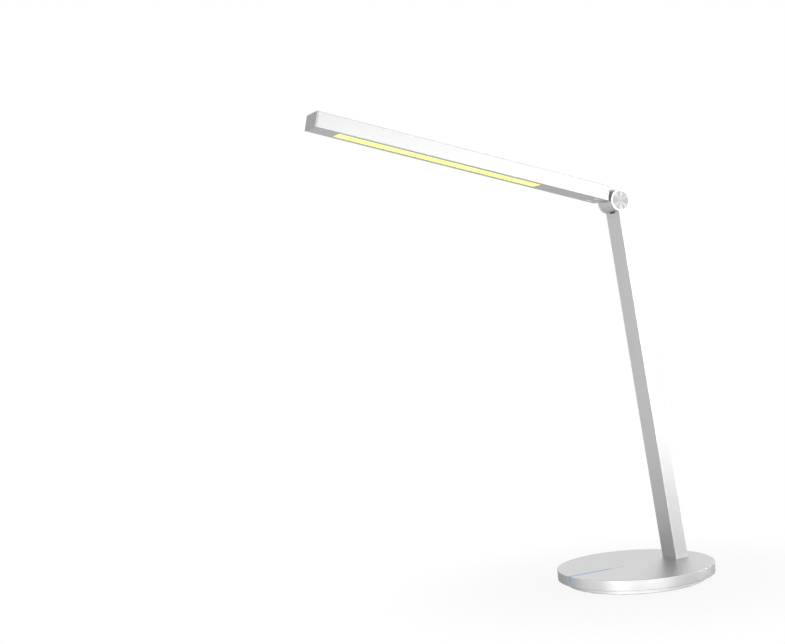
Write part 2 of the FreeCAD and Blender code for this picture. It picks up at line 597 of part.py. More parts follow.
# Screws that hold the tray to the posts of the shell
def make_tray_screws():
    body = add_body("tray_screws", FreeCAD.Placement(FreeCAD.Vector(), FreeCAD.Rotation(
        Z_AXIS, size("post_angle"))), loose=True)
    seat = "(foot_height + tray_screw_head_height + screw_clearance)"
    profile = add_sketch(body, "screw_section", "XZ_Plane")
    polygon(profile, [
        (POST_CIRCLE, f"{seat} - tray_screw_head_height"),
        (f"{POST_CIRCLE} + tray_screw_head", f"{seat} - tray_screw_head_height"),
        (f"{POST_CIRCLE} + tray_screw_head", seat), (f"{POST_CIRCLE} + tray_screw_radius", seat),
        (f"{POST_CIRCLE} + tray_screw_radius", f"{seat} + tray_screw_length"),
        (POST_CIRCLE, f"{seat} + tray_screw_length")])
    screw = turn(body, profile, "screw", axis_line(profile, POST_CIRCLE))
    level = add_sketch(body, "screw_circle", "XY_Plane")
    circle(level, "0", "0", POST_CIRCLE)
    round_pattern(body, level, screw, "screws", "post_count")


# Rubber pads that the lamp stands on
def make_foot_pads():
    body = add_body("foot_pads", BASE_FRAME, loose=True)
    outline = add_sketch(body, "pad_outline", "XY_Plane")
    circle(outline, f"{PAD_CIRCLE} * cos(pad_angle)", f"{PAD_CIRCLE} * sin(pad_angle)", "pad_radius - 0.1")
    foot = pad(body, outline, "pad", "foot_height + pad_recess")
    round_pattern(body, outline, foot, "pads", "pad_count")


# Control board and the DC inlet that stands on its rear edge
def make_control():
    board = add_body("control_board", BASE_FRAME)
    outline = add_sketch(board, "board_outline", "XY_Plane", "rim_underside")
    band(outline, "control_width", CONTROL_FRONT, CONTROL_BACK)
    pad(board, outline, "board", "board_thickness")
    inlet = add_body("dc_inlet", BASE_FRAME)
    block = add_sketch(inlet, "block_outline", "XZ_Plane", f"-{INLET_FRONT}")
    band(block, "inlet_width", CONTROL_TOP, f"{CONTROL_TOP} + inlet_block_height")
    pad(inlet, block, "block", "inlet_block_length")
    nose = add_sketch(inlet, "nose_outline", "XZ_Plane", f"-{INLET_FACE}")
    circle(nose, "0", "inlet_height", "inlet_nose_radius")
    pad(inlet, nose, "nose", f"{INLET_FACE} - {INLET_FRONT} + 0.5")
    bore = add_sketch(inlet, "bore_outline", "XZ_Plane", f"-{INLET_FACE}")
    circle(bore, "0", "inlet_height", "inlet_bore_radius")
    pocket(inlet, bore, "bore", "inlet_bore_depth")
    pin = add_body("inlet_pin", BASE_FRAME)
    shaft = add_sketch(pin, "pin_outline", "XZ_Plane", f"-{INLET_FACE} + 1")
    circle(shaft, "0", "inlet_height", "inlet_pin_radius")
    pad(pin, shaft, "pin", "inlet_bore_depth - 1")


# Mast tube: a rectangular extrusion, cut square under the hinge and level at the base
def make_mast_tube():
    body = add_body("mast_tube", MAST_FRAME)

    def side(name, inset, past):
        profile = add_sketch(body, name, "YZ_Plane")
        front = f"{MAST_FRONT} + {inset}"
        back = f"knuckle_radius - {inset}"
        polygon(profile, [
            (front, f"{past} - {FORK_SEAM}"), (back, f"{past} - {FORK_SEAM}"),
            (back, f"-mast_length - (mast_depth - {inset}) * tan(mast_lean_angle) - {past}"),
            (front, f"-mast_length - {inset} * tan(mast_lean_angle) - {past}")])
        return profile

    tube = pad(body, side("tube_side", "0", "0"), "tube", "mast_width", middle=True)
    length = size("mast_length") / 2
    rounded = dress("Fillet", body, tube, "tube_rounding", "Radius", "mast_edge_round",
                    lambda edge: runs_along(edge, Z_AXIS, length))
    hollow = side("hollow_side", "mast_wall", "1")
    pocket(body, hollow, "hollow", "mast_width - 2 * mast_wall", middle=True)
    return rounded


# Block in the foot of the mast, which the two screws from under the base pull down
def make_foot_block():
    body = add_body("mast_foot_block", BASE_FRAME)
    profile = add_sketch(body, "block_side", "YZ_Plane")
    inset = "(mast_wall + block_fit)"
    front = f"{MAST_FOOT} + {inset} / cos(mast_lean_angle)"
    back = f"{MAST_FOOT} + (mast_depth - {inset}) / cos(mast_lean_angle)"
    shift = "foot_block_height * tan(mast_lean_angle)"
    polygon(profile, [
        (front, "base_top"), (back, "base_top"), (f"{back} - {shift}", "base_top + foot_block_height"),
        (f"{front} - {shift}", "base_top + foot_block_height")])
    pad(body, profile, "block", f"mast_width - 2 * {inset}", middle=True)
    threads = add_sketch(body, "thread_outline", "XY_Plane", "base_top - 1")
    circle(threads, "-mast_screw_spread / 2", MAST_CENTRE, "mast_screw_radius")
    circle(threads, "mast_screw_spread / 2", MAST_CENTRE, "mast_screw_radius")
    pocket(body, threads, "threads", "mast_screw_length")
    channel = add_sketch(body, "channel_outline", "XY_Plane", "base_top - 1")
    circle(channel, "0", MAST_CENTRE, "lead_hole_radius")
    pocket(body, channel, "channel", "foot_block_height + 2")
    screws = add_body("mast_screws", FreeCAD.Placement(
        FreeCAD.Vector(-size("mast_screw_spread") / 2, mast_centre(), 0), FreeCAD.Rotation()), loose=True)
    section = add_sketch(screws, "screw_section", "XZ_Plane")
    polygon(section, [
        ("0", f"{PLATE_UNDERSIDE} - mast_screw_head_height"),
        ("mast_screw_head", f"{PLATE_UNDERSIDE} - mast_screw_head_height"),
        ("mast_screw_head", PLATE_UNDERSIDE), ("mast_screw_radius", PLATE_UNDERSIDE),
        ("mast_screw_radius", f"{PLATE_UNDERSIDE} + mast_screw_length"),
        ("0", f"{PLATE_UNDERSIDE} + mast_screw_length")])
    screw = turn(screws, section, "screw", "V_Axis")
    row_pattern(screws, section, screw, "screws", "H_Axis", "mast_screw_spread", "mast_screw_count")


def mast_centre():
    """Middle of the mast's foot, behind the middle of the base."""
    return mast_foot + size("mast_depth") / (2 * math.cos(lean))


def round_end(sketch, radius, start_angle, end_angle):
    """An arc about the sketch's origin, with its radius tied to a size."""
    ring = Part.Circle(FreeCAD.Vector(), Z_AXIS, size(radius))
    arc = sketch.addGeometry(Part.ArcOfCircle(ring, start_angle, end_angle), False)
    sketch.addConstraint(Sketcher.Constraint("Coincident", arc, 3, -1, 1))
    index = sketch.addConstraint(Sketcher.Constraint("Radius", arc, size(radius)))
    bind(sketch, f"Constraints[{index}]", radius)
    return arc


def chain(sketch, arc, spots):
    """Lines from the end of an arc through the spots and back to the arc's start."""
    points = [sketch.getPoint(arc, 2)]
    points += [FreeCAD.Vector(across, up, 0) for across, up in spots]
    points.append(sketch.getPoint(arc, 1))
    lines = []
    for start, end in zip(points, points[1:]):
        lines.append(sketch.addGeometry(Part.LineSegment(start, end), False))
    sketch.addConstraint(Sketcher.Constraint("Coincident", arc, 2, lines[0], 1))
    for line, following in zip(lines, lines[1:]):
        sketch.addConstraint(Sketcher.Constraint("Coincident", line, 2, following, 1))
    sketch.addConstraint(Sketcher.Constraint("Coincident", lines[-1], 2, arc, 1))
    return lines


# Fork: two round ears on a shoulder that is flush with the mast, and a plug inside the mast
def make_mast_fork():
    body = add_body("mast_fork", MAST_FRAME)
    outline = add_sketch(body, "fork_side", "YZ_Plane")
    radius = size("knuckle_radius")
    front = radius - size("mast_depth")
    seam = radius + size("slot_gap") + size("fork_shoulder")
    fork_arc = round_end(outline, "knuckle_radius", 0, 2 * math.pi - math.acos(front / radius))
    lines = chain(outline, fork_arc, [(front, -seam), (radius, -seam)])
    outline.addConstraint(Sketcher.Constraint("PointOnObject", fork_arc, 1, -1))
    outline.addConstraint(Sketcher.Constraint("Vertical", lines[0]))
    hold(outline, lines[1], 1, MAST_FRONT, f"-{FORK_SEAM}")
    outline.addConstraint(Sketcher.Constraint("Horizontal", lines[1]))
    outline.addConstraint(Sketcher.Constraint("Vertical", lines[2]))
    ears = pad(body, outline, "ears", "mast_width", middle=True)
    shoulder = size("fork_shoulder")
    side = size("mast_width") / 2
    dress("Chamfer", body, ears, "shoulder_bevels", "Size", "mast_edge_round / 2",
          lambda edge: runs_along(edge, Z_AXIS, shoulder) and abs(abs(edge.CenterOfMass.x) - side) < 0.01)
    slot = add_sketch(body, "slot_outline", "XZ_Plane")
    band(slot, "ear_gap", f"-{FORK_FLOOR}", "knuckle_radius + 1")
    pocket(body, slot, "slot", "4 * mast_depth", middle=True)
    inset = "(mast_wall + block_fit)"
    plug = add_sketch(body, "plug_outline", "XY_Plane", f"-{FORK_SEAM} - fork_plug")
    band(plug, f"mast_width - 2 * {inset}", f"{MAST_FRONT} + {inset}", f"knuckle_radius - {inset}")
    pad(body, plug, "plug", "fork_plug + 1")
    chamber = add_sketch(body, "chamber_outline", "YZ_Plane", CHAMBER_FLOOR)
    circle(chamber, "0", "0", "chamber_radius")
    hollow = pocket(body, chamber, "chamber", "mast_width")
    mirror(body, hollow, "chambers")
    bore = add_sketch(body, "axle_hole_outline", "YZ_Plane")
    circle(bore, "0", "0", "axle_radius + axle_running_gap")
    pocket(body, bore, "axle_holes", "2 * mast_width", middle=True)
    channel = add_sketch(body, "channel_outline", "XY_Plane", f"-{FORK_SEAM} - fork_plug - 1")
    circle(channel, "mast_width / 2 - lead_inset", "0", "ear_channel")
    pocket(body, channel, "channel", f"{FORK_SEAM} + fork_plug + 1 - chamber_radius + 2")
    seat = add_sketch(body, "pin_seat_outline", "YZ_Plane", "-ear_gap / 2 - limit_pin_seat")
    circle(seat, "0", "-limit_pin_circle", "limit_pin_radius")
    pocket(body, seat, "pin_seat", "limit_pin_seat + 0.5")


# Stop pin in the left ear, which runs in an arc groove in the barrel's side
def make_limit_pin():
    body = add_body("limit_pin", MAST_FRAME)
    outline = add_sketch(body, "pin_outline", "YZ_Plane", "-ear_gap / 2 - limit_pin_seat")
    circle(outline, "0", "-limit_pin_circle", "limit_pin_radius - 0.01")
    reach = "limit_pin_seat + (ear_gap - neck_width) / 2 + limit_groove_depth - 0.4"
    pad(body, outline, "pin", reach)


# Spun disc that closes one ear: a plain ring round a face turned a little lower
def make_disc(label, side):
    body = add_body(label, MAST_FRAME)
    inner = f"{side} * (mast_width / 2 - disc_spigot)"
    ear_face = f"{side} * mast_width / 2"
    outer = f"{side} * (mast_width / 2 + disc_proud)"
    bevel = f"{side} * (mast_width / 2 + disc_proud - disc_bevel)"
    spun = f"{side} * (mast_width / 2 + disc_proud - disc_face_recess)"
    spigot = "chamber_radius - disc_fit"
    section = add_sketch(body, "disc_section", "XZ_Plane")
    polygon(section, [
        (inner, "0"), (inner, spigot), (ear_face, spigot), (ear_face, "knuckle_radius"),
        (bevel, "knuckle_radius"), (outer, "knuckle_radius - disc_bevel"),
        (outer, "disc_face_radius"), (spun, "disc_face_radius"), (spun, "0")])
    turn(body, section, "disc", "H_Axis")


# Friction washers between the ears and the barrel
def make_friction_washers():
    body = add_body("friction_washers", MAST_FRAME, loose=True)
    section = add_sketch(body, "washer_section", "XZ_Plane")
    rectangle(section, "neck_width / 2", "neck_width / 2 + washer_thickness",
              "axle_radius + washer_gap", "washer_radius")
    washer = turn(body, section, "washer", "H_Axis")
    mirror(body, washer, "washers")


# Hollow axle: pressed in the barrel, with a flange at the right ear and a thread at the left
def make_hinge_axle():
    body = add_body("hinge_axle", HEAD_FRAME)
    section = add_sketch(body, "axle_section", "XZ_Plane")
    flange_face = f"{CHAMBER_FLOOR} + axle_flange"
    thread_start = f"-{CHAMBER_FLOOR} + 0.4"
    thread_end = "-(mast_width / 2 - disc_spigot - 0.6)"
    polygon(section, [
        (thread_end, "0"), (thread_end, "axle_thread_radius"), (thread_start, "axle_thread_radius"),
        (thread_start, "axle_radius"), (CHAMBER_FLOOR, "axle_radius"),
        (CHAMBER_FLOOR, "axle_flange_radius"), (flange_face, "axle_flange_radius"),
        (flange_face, "axle_bore"), ("-axle_bore", "axle_bore"), ("-axle_bore", "0")])
    turn(body, section, "axle", "H_Axis")
    window = add_sketch(body, "window_outline", "XZ_Plane")
    circle(window, "0", "0", "axle_window")
    pocket(body, window, "window", "2 * axle_radius")


# Disc springs and lock nut that press the ears together on the left
def make_hinge_springs():
    springs = add_body("disc_springs", HEAD_FRAME, loose=True)
    section = add_sketch(springs, "spring_section", "XZ_Plane")
    hole = "axle_thread_radius + 0.1"
    low = f"-{CHAMBER_FLOOR}"
    high = f"-{CHAMBER_FLOOR} - disc_spring_rise"
    polygon(section, [
        (high, hole), (low, "disc_spring_radius"),
        (f"{low} - disc_spring_thickness", "disc_spring_radius"),
        (f"{high} - disc_spring_thickness", hole)])
    spring = turn(springs, section, "spring", "H_Axis")
    pattern = row_pattern(springs, section, spring, "springs", "H_Axis",
                          "disc_spring_thickness + stack_gap", "disc_spring_count")
    pattern.Reversed = True
    doc.recompute()
    nut = add_body("lock_nut", HEAD_FRAME)
    stack = "disc_spring_count * (disc_spring_thickness + stack_gap)"
    seat = f"{CHAMBER_FLOOR} + disc_spring_rise + {stack}"
    outline = add_sketch(nut, "nut_outline", "YZ_Plane", f"-({seat}) - nut_thickness")
    corner = "nut_across_flats / (2 * cos(30))"
    polygon(outline, [(f"{corner} * cos({step})", f"{corner} * sin({step})") for step in range(30, 390, 60)])
    circle(outline, "0", "0", "axle_thread_radius")
    pad(nut, outline, "nut", "nut_thickness")


# Barrel and neck: the round middle of the hinge, the plate that closes the head and its tongue
def make_hinge_neck():
    body = add_body("hinge_neck", HEAD_FRAME)
    outline = add_sketch(body, "neck_side", "YZ_Plane")
    radius = size("knuckle_radius")
    bottom = radius - size("neck_height")
    plate = -size("head_rear") - size("rear_plate")
    lower = math.pi + math.asin(-bottom / radius)
    neck_arc = round_end(outline, "knuckle_radius", lower, 2.5 * math.pi)
    lines = chain(outline, neck_arc, [(plate, radius), (plate, bottom)])
    outline.addConstraint(Sketcher.Constraint("PointOnObject", neck_arc, 2, -2))
    outline.addConstraint(Sketcher.Constraint("Horizontal", lines[0]))
    hold(outline, lines[2], 1, f"-{REAR_PLATE_END}", "knuckle_radius - neck_height")
    outline.addConstraint(Sketcher.Constraint("Vertical", lines[1]))
    outline.addConstraint(Sketcher.Constraint("Horizontal", lines[2]))
    pad(body, outline, "neck", "neck_width", middle=True)
    plate_side = add_sketch(body, "plate_side", "YZ_Plane")
    polygon(plate_side, [
        ("-head_rear", "knuckle_radius"), ("-head_rear + rear_rake", HEAD_UNDERSIDE),
        (f"-{REAR_PLATE_END}", HEAD_UNDERSIDE), (f"-{REAR_PLATE_END}", "knuckle_radius")])
    plate_pad = pad(body, plate_side, "plate", "head_width", middle=True)
    side = size("head_width") / 2
    dress("Fillet", body, plate_pad, "plate_rounding", "Radius", "head_edge_round",
          lambda edge: runs_along(edge, FreeCAD.Vector(0, 1, 0), 0.5)
          and abs(abs(edge.CenterOfMass.x) - side) < 0.01)
    tongue = add_sketch(body, "tongue_outline", "XZ_Plane", f"{REAR_PLATE_END} - 0.5")
    inset = "(head_wall + block_fit)"
    band(tongue, f"head_width - 2 * {inset}", f"{HEAD_UNDERSIDE} + {inset}", f"knuckle_radius - {inset}")
    pad(body, tongue, "tongue", "tongue_length + 0.5")
    bore = add_sketch(body, "axle_hole_outline", "YZ_Plane")
    circle(bore, "0", "0", "axle_radius")
    pocket(body, bore, "axle_hole", "2 * neck_width", middle=True)
    channel = add_sketch(body, "channel_outline", "XZ_Plane")
    circle(channel, "0", "0", "lead_channel")
    pocket(body, channel, "channel", f"{REAR_PLATE_END} + tongue_length + 1")
    threads = add_sketch(body, "thread_outline", "XY_Plane", f"{HEAD_UNDERSIDE}")
    circle(threads, "-neck_screw_spread / 2", "-neck_screw_reach", "neck_screw_radius")
    circle(threads, "neck_screw_spread / 2", "-neck_screw_reach", "neck_screw_radius")
    pocket(body, threads, "threads", "neck_screw_length + 1")
    groove = add_sketch(body, "groove_section", "XZ_Plane")
    groove.AttachmentOffset = FreeCAD.Placement(FreeCAD.Vector(), FreeCAD.Rotation(X_AXIS, 10))
    middle = "mast_lean_angle + head_rise_angle + (tilt_up_angle - tilt_down_angle) / 2"
    bind(groove, "AttachmentOffset.Rotation.Angle", middle)
    rectangle(groove, "-neck_width / 2 - 1", "-neck_width / 2 + limit_groove_depth",
              "-limit_pin_circle - limit_groove_radius", "-limit_pin_circle + limit_groove_radius")
    turn(body, groove, "groove", "H_Axis", "tilt_up_angle + tilt_down_angle + 2 * limit_margin_angle", "Groove")


# Housing of the head: a closed rectangular extrusion with a long window in its underside
def make_head_housing():
    body = add_body("head_housing", HEAD_FRAME)
    outline = add_sketch(body, "housing_outline", "XZ_Plane", REAR_PLATE_END)
    band(outline, "head_width", HEAD_UNDERSIDE, "knuckle_radius")
    housing = pad(body, outline, "housing", f"{HOUSING_END} - {REAR_PLATE_END}")
    length = size("head_reach") / 2
    dress("Fillet", body, housing, "housing_rounding", "Radius", "head_edge_round",
          lambda edge: runs_along(edge, FreeCAD.Vector(0, 1, 0), length))
    hollow = add_sketch(body, "hollow_outline", "XZ_Plane", f"{REAR_PLATE_END} - 1")
    band(hollow, "head_width - 2 * head_wall", HEAD_INNER_BOTTOM, HEAD_INNER_TOP)
    pocket(body, hollow, "hollow", "head_reach")
    window = add_sketch(body, "window_outline", "XY_Plane", f"{HEAD_UNDERSIDE} - 1")
    band(window, "window_width", f"-{WINDOW_END}", f"-{WINDOW_START}")
    pocket(body, window, "window", "head_wall + 2")
    holes = add_sketch(body, "screw_hole_outline", "XY_Plane", f"{HEAD_UNDERSIDE} - 1")
    hole_radius = "neck_screw_radius + screw_clearance"
    circle(holes, "-neck_screw_spread / 2", "-neck_screw_reach", hole_radius)
    circle(holes, "neck_screw_spread / 2", "-neck_screw_reach", hole_radius)
    drilled = pocket(body, holes, "screw_holes", "head_wall + 2")
    underside = size("knuckle_radius") - size("head_height")
    rim = size("neck_screw_radius") + size("screw_clearance")
    dress("Chamfer", body, drilled, "countersinks", "Size",
          "neck_screw_head + 0.05 - neck_screw_radius - screw_clearance",
          lambda edge: is_circle(edge, rim, underside))


# End cap: a plate that carries on the housing's outline, with a hollow plug inside it
def make_head_end_cap():
    body = add_body("head_end_cap", HEAD_FRAME)
    outline = add_sketch(body, "plate_outline", "XZ_Plane", HOUSING_END)
    band(outline, "head_width", HEAD_UNDERSIDE, "knuckle_radius")
    plate = pad(body, outline, "plate", "end_plate")
    dress("Fillet", body, plate, "plate_rounding", "Radius", "head_edge_round",
          lambda edge: runs_along(edge, FreeCAD.Vector(0, 1, 0), 0.5))
    inset = "(head_wall + block_fit)"
    plug = add_sketch(body, "plug_outline", "XZ_Plane", f"{HOUSING_END} - end_plug")
    band(plug, f"head_width - 2 * {inset}", f"{HEAD_UNDERSIDE} + {inset}", f"knuckle_radius - {inset}")
    pad(body, plug, "plug", "end_plug + 0.5")
    wall = "(head_wall + block_fit + end_plug_wall)"
    hollow = add_sketch(body, "hollow_outline", "XZ_Plane", f"{HOUSING_END} - end_plug - 1")
    band(hollow, f"head_width - 2 * {wall}", f"{HEAD_UNDERSIDE} + {wall}", f"knuckle_radius - {wall}")
    pocket(body, hollow, "hollow", "end_plug + 1")


# Countersunk screws that hold the housing on the tongue
def make_neck_screws():
    seat = FreeCAD.Vector(-size("neck_screw_spread") / 2, -size("neck_screw_reach"),
                          size("knuckle_radius") - size("head_height"))
    body = add_body("neck_screws", HEAD_FRAME * FreeCAD.Placement(seat, FreeCAD.Rotation()), loose=True)
    section = add_sketch(body, "screw_section", "XZ_Plane")
    cone = "neck_screw_head - neck_screw_radius"
    polygon(section, [
        ("0", "0"), ("neck_screw_head", "0"), ("neck_screw_radius", cone),
        ("neck_screw_radius", "neck_screw_length"), ("0", "neck_screw_length")])
    screw = turn(body, section, "screw", "V_Axis")
    key = add_sketch(body, "key_outline", "XY_Plane")
    corner = "neck_screw_key / cos(30)"
    polygon(key, [(f"{corner} * cos({step})", f"{corner} * sin({step})") for step in range(30, 390, 60)])
    key_hole = pocket(body, key, "key_hole", "neck_screw_key")
    pattern = row_pattern(body, section, screw, "screws", "H_Axis", "neck_screw_spread", "neck_screw_count")
    pattern.Originals = [screw, key_hole]
    doc.recompute()


# Diffuser: a frosted strip whose nose fills the window and whose flange lies on its edges
def make_diffuser():
    body = add_body("diffuser", HEAD_FRAME)
    flange = add_sketch(body, "flange_outline", "XY_Plane", HEAD_INNER_BOTTOM)
    band(flange, "window_width + 2 * diffuser_lip", f"-{WINDOW_END} - diffuser_lip",
         f"-{WINDOW_START} + diffuser_lip")
    pad(body, flange, "flange", "diffuser_flange")
    nose = add_sketch(body, "nose_outline", "XY_Plane", DIFFUSER_FACE)
    band(nose, "window_width - 2 * diffuser_fit", f"-{WINDOW_END} + diffuser_fit",
         f"-{WINDOW_START} - diffuser_fit")
    pad(body, nose, "nose", f"{DIFFUSER_TOP} - {DIFFUSER_FACE}")


# Lamp board on the inside of the housing's top, its lamps, and the reflector round them
def make_lamps():
    board = add_body("led_board", HEAD_FRAME)
    outline = add_sketch(board, "board_outline", "XY_Plane", LED_BOARD_UNDERSIDE)
    band(outline, "led_board_width", f"-{WINDOW_END}", f"-{WINDOW_START} + led_board_tail")
    pad(board, outline, "board", "board_thickness")
    lamps = add_body("white_leds", HEAD_FRAME, loose=True)
    first = add_sketch(lamps, "lamp_outline", "XY_Plane", f"{LED_BOARD_UNDERSIDE} - led_height")
    band(first, "led_width", f"-{WINDOW_END} + led_length", f"-{WINDOW_END} + 2 * led_length")
    lamp = pad(lamps, first, "lamp", "led_height")
    row_pattern(lamps, first, lamp, "lamps", "V_Axis", f"{WINDOW_END} - {WINDOW_START} - 3 * led_length",
                "led_count")
    reflector = add_body("reflector", HEAD_FRAME)
    section = add_sketch(reflector, "reflector_section", "XZ_Plane", WINDOW_START)
    top = f"{LED_BOARD_UNDERSIDE}"
    under = f"{LED_BOARD_UNDERSIDE} - reflector_sheet"
    foot = "window_width / 2 + diffuser_lip"
    polygon(section, [
        (f"-({foot})", DIFFUSER_TOP), (f"reflector_sheet - ({foot})", DIFFUSER_TOP),
        ("-reflector_top / 2 + reflector_sheet", under), ("reflector_top / 2 - reflector_sheet", under),
        (f"{foot} - reflector_sheet", DIFFUSER_TOP), (foot, DIFFUSER_TOP),
        ("reflector_top / 2", top), ("-reflector_top / 2", top)])
    pad(reflector, section, "sheet", f"{WINDOW_END} - {WINDOW_START}")
    slot = add_sketch(reflector, "slot_outline", "XY_Plane", f"{under} - 1")
    band(slot, "reflector_slot", f"-{WINDOW_END} + led_length / 2", f"-{WINDOW_START} - led_length / 2")
    pocket(reflector, slot, "slot", "reflector_sheet + 2")


def lead(label, corners, bends):
    """A round lead along straight runs, with an arc of its own radius at each inner corner."""
    edges_made = []
    start = corners[0]
    for corner, following, bend in zip(corners[1:], corners[2:], bends):
        inward = (start - corner).normalize()
        outward = (following - corner).normalize()
        half = inward.getAngle(outward) / 2
        reach = bend / math.tan(half)
        first = corner + inward * reach
        last = corner + outward * reach
        bisector = (inward + outward).normalize()
        centre = corner + bisector * (bend / math.sin(half))
        middle = centre - bisector * bend
        edges_made.append(Part.LineSegment(start, first).toShape())
        edges_made.append(Part.Arc(first, middle, last).toShape())
        start = last
    edges_made.append(Part.LineSegment(start, corners[-1]).toShape())
    path = Part.Wire(edges_made)
    ring = Part.makeCircle(size("lead_radius"), corners[0], corners[1] - corners[0])
    shape = path.makePipeShell([Part.Wire([ring])], True, False)
    expected = math.pi * size("lead_radius") ** 2 * path.Length
    print(f"{label}: {path.Length:.1f} mm long, volume {shape.Volume / expected:.4f} of its section"
          f" times its length, bends {bends}")
    item = doc.addObject("Part::Feature", label)
    item.Shape = shape
    keep(item, label, BASE_FRAME)


# Leads: board to mast to axle, axle to lamp board, and board to touch board
def make_leads():
    radius = size("lead_radius")
    side = size("mast_width") / 2 - size("lead_inset")
    bend = size("lead_bend")
    middle = size("knuckle_radius") - size("mast_depth") / 2
    seam = size("knuckle_radius") + size("slot_gap") + size("fork_shoulder")
    plug_end = seam + size("fork_plug")
    board_top = size("rim_underside") + size("board_thickness")
    block_top = size("base_top") + size("foot_block_height")
    axle_end = (size("neck_width") + size("mast_width")) / 4 - size("chamber_depth") / 2

    def in_mast(across, back, up):
        return MAST_FRAME.multVec(FreeCAD.Vector(across, back, up))

    def in_head(across, back, up):
        return HEAD_FRAME.multVec(FreeCAD.Vector(across, back, up))

    start = -plug_end - size("lead_step_start")
    end = -plug_end - size("lead_step_end")
    lead("mast_lead", [
        FreeCAD.Vector(0, mast_centre(), board_top), FreeCAD.Vector(0, mast_centre(), block_top),
        in_mast(0, middle, start), in_mast(side, 0, end),
        in_mast(side, 0, 0), in_mast(axle_end, 0, 0)],
        [size("lead_sweep"), size("lead_ease"), size("lead_ease"), bend])
    board_end = size("head_rear") + size("window_near_margin") - size("led_board_tail") / 3
    board_under = size("knuckle_radius") - size("head_wall") - size("board_thickness") - radius
    tongue_end = size("head_rear") + size("rear_plate") + size("tongue_length")
    turn_radius = size("lead_turn")
    lead("head_lead", [
        in_head(axle_end - radius, 0, 0), in_head(0, 0, 0), in_head(0, -tongue_end - size("lead_end_run"), 0),
        in_head(0, size("lead_slope") - board_end, board_under), in_head(0, -board_end, board_under)],
        [bend, turn_radius, turn_radius])
    weight_top = size("foot_height") + size("tray_floor") + size("weight_thickness") + 1.5 * radius
    touch_under = size("base_top") - size("plate_thickness") - size("board_gap") - size("board_thickness")
    front = size("base_radius") - size("control_inset") - size("control_length")
    tail = size("tail_end")
    aside = -size("touch_board_width") / 3
    run = size("lead_end_run")
    kink = size("lead_kink")
    lead("touch_lead", [
        FreeCAD.Vector(aside, front + run, board_top + radius),
        FreeCAD.Vector(aside, front + 3 * kink, board_top + radius),
        FreeCAD.Vector(aside, front, weight_top), FreeCAD.Vector(aside, 5 * radius - tail, weight_top),
        FreeCAD.Vector(aside, -tail - radius, touch_under - radius),
        FreeCAD.Vector(aside, -tail - run, touch_under - radius)], [kink, kink, turn_radius, turn_radius])


make_base_shell()
make_light_guide()
make_touch_board()
make_base_weight()
make_base_tray()
make_tray_screws()
make_foot_pads()
make_control()
make_mast_tube()
make_foot_block()
make_mast_fork()
make_limit_pin()
make_disc("hinge_disc_right", "1")
make_disc("hinge_disc_left", "-1")
make_friction_washers()
make_hinge_axle()
make_hinge_springs()
make_hinge_neck()
make_head_housing()
make_head_end_cap()
make_neck_screws()
make_diffuser()
make_lamps()
make_leads()
doc.recompute()

faults = []
for item in doc.Objects:
    if "Invalid" in item.State or "Error" in item.State:
        faults.append(f"{item.Name} is {item.State}")
for node in NODES:
    if node.Shape.isNull() or not node.Shape.isValid() or node.Shape.Volume <= 0:
        faults.append(f"{node.Label} has no good shape")
if faults:
    raise ValueError("; ".join(faults))

os.makedirs("parts", exist_ok=True)
for node in NODES:
    node.Shape.exportStep(f"parts/{node.Label}.step")
    print(f"{node.Label}: {len(node.Shape.Solids)} solids, {node.Shape.Volume / 1000:.2f} cm3")
print(f"{len(NODES)} nodes, hinge at {HINGE.x:.3f}, {HINGE.y:.3f}, {HINGE.z:.3f} mm")
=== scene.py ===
# %% [markdown]
# A slim LED desk lamp: a round weighted base with a blue touch slide, a leaning rectangular mast,
# a friction hinge with spun discs, and a bar head that is lit from below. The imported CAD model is
# loaded first and stays where it is. What the eye sees is then built finer around it, and what is
# inside keeps its CAD solid and gets a finish.

# %% Load the frame
import json
import bmesh
import bpy
import numpy as np
from mathutils import Matrix


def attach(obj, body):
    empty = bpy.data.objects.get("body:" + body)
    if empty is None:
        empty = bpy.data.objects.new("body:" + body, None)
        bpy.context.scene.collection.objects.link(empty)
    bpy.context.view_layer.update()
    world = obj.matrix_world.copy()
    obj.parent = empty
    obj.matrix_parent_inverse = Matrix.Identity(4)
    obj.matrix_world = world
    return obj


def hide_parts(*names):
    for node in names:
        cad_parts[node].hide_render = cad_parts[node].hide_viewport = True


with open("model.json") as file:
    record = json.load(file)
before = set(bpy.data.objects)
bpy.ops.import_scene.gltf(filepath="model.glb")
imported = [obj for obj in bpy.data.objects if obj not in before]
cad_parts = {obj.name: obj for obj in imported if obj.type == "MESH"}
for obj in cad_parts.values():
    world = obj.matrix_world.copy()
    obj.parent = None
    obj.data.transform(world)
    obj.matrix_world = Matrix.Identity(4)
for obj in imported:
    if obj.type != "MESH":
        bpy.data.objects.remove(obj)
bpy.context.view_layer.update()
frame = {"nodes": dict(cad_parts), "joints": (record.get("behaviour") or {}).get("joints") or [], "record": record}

MM = 0.001

# %% [markdown]
# The lamp has three frames. The base stands on the desk, so its frame is the world. The mast leans
# forward about the hinge axis, and the head rises from it, so each of them has a frame whose origin
# is on the hinge and which is turned about X. A part is written in the frame where it is straight,
# and turned into place afterwards.

# %% Frames
HINGE = np.array(frame["joints"][0]["pos_m"]) / MM
LEAN = np.radians(5.2)
RISE = np.radians(14.5)


def turned(points, angle):
    """Points turned about X, then moved to the hinge: y' = y cos a - z sin a, z' = y sin a + z cos a."""
    x, y, z = np.asarray(points, float).T
    new_y = y * np.cos(angle) - z * np.sin(angle)
    new_z = y * np.sin(angle) + z * np.cos(angle)
    return np.stack([x, new_y, new_z], 1) + HINGE


def on_base(points):
    """The base's frame is the world."""
    return np.asarray(points, float)


def on_mast(points):
    """Z runs up the mast and Y to its back."""
    return turned(points, LEAN)


def on_head(points):
    """The head runs along -Y and Z is its top."""
    return turned(points, -RISE)


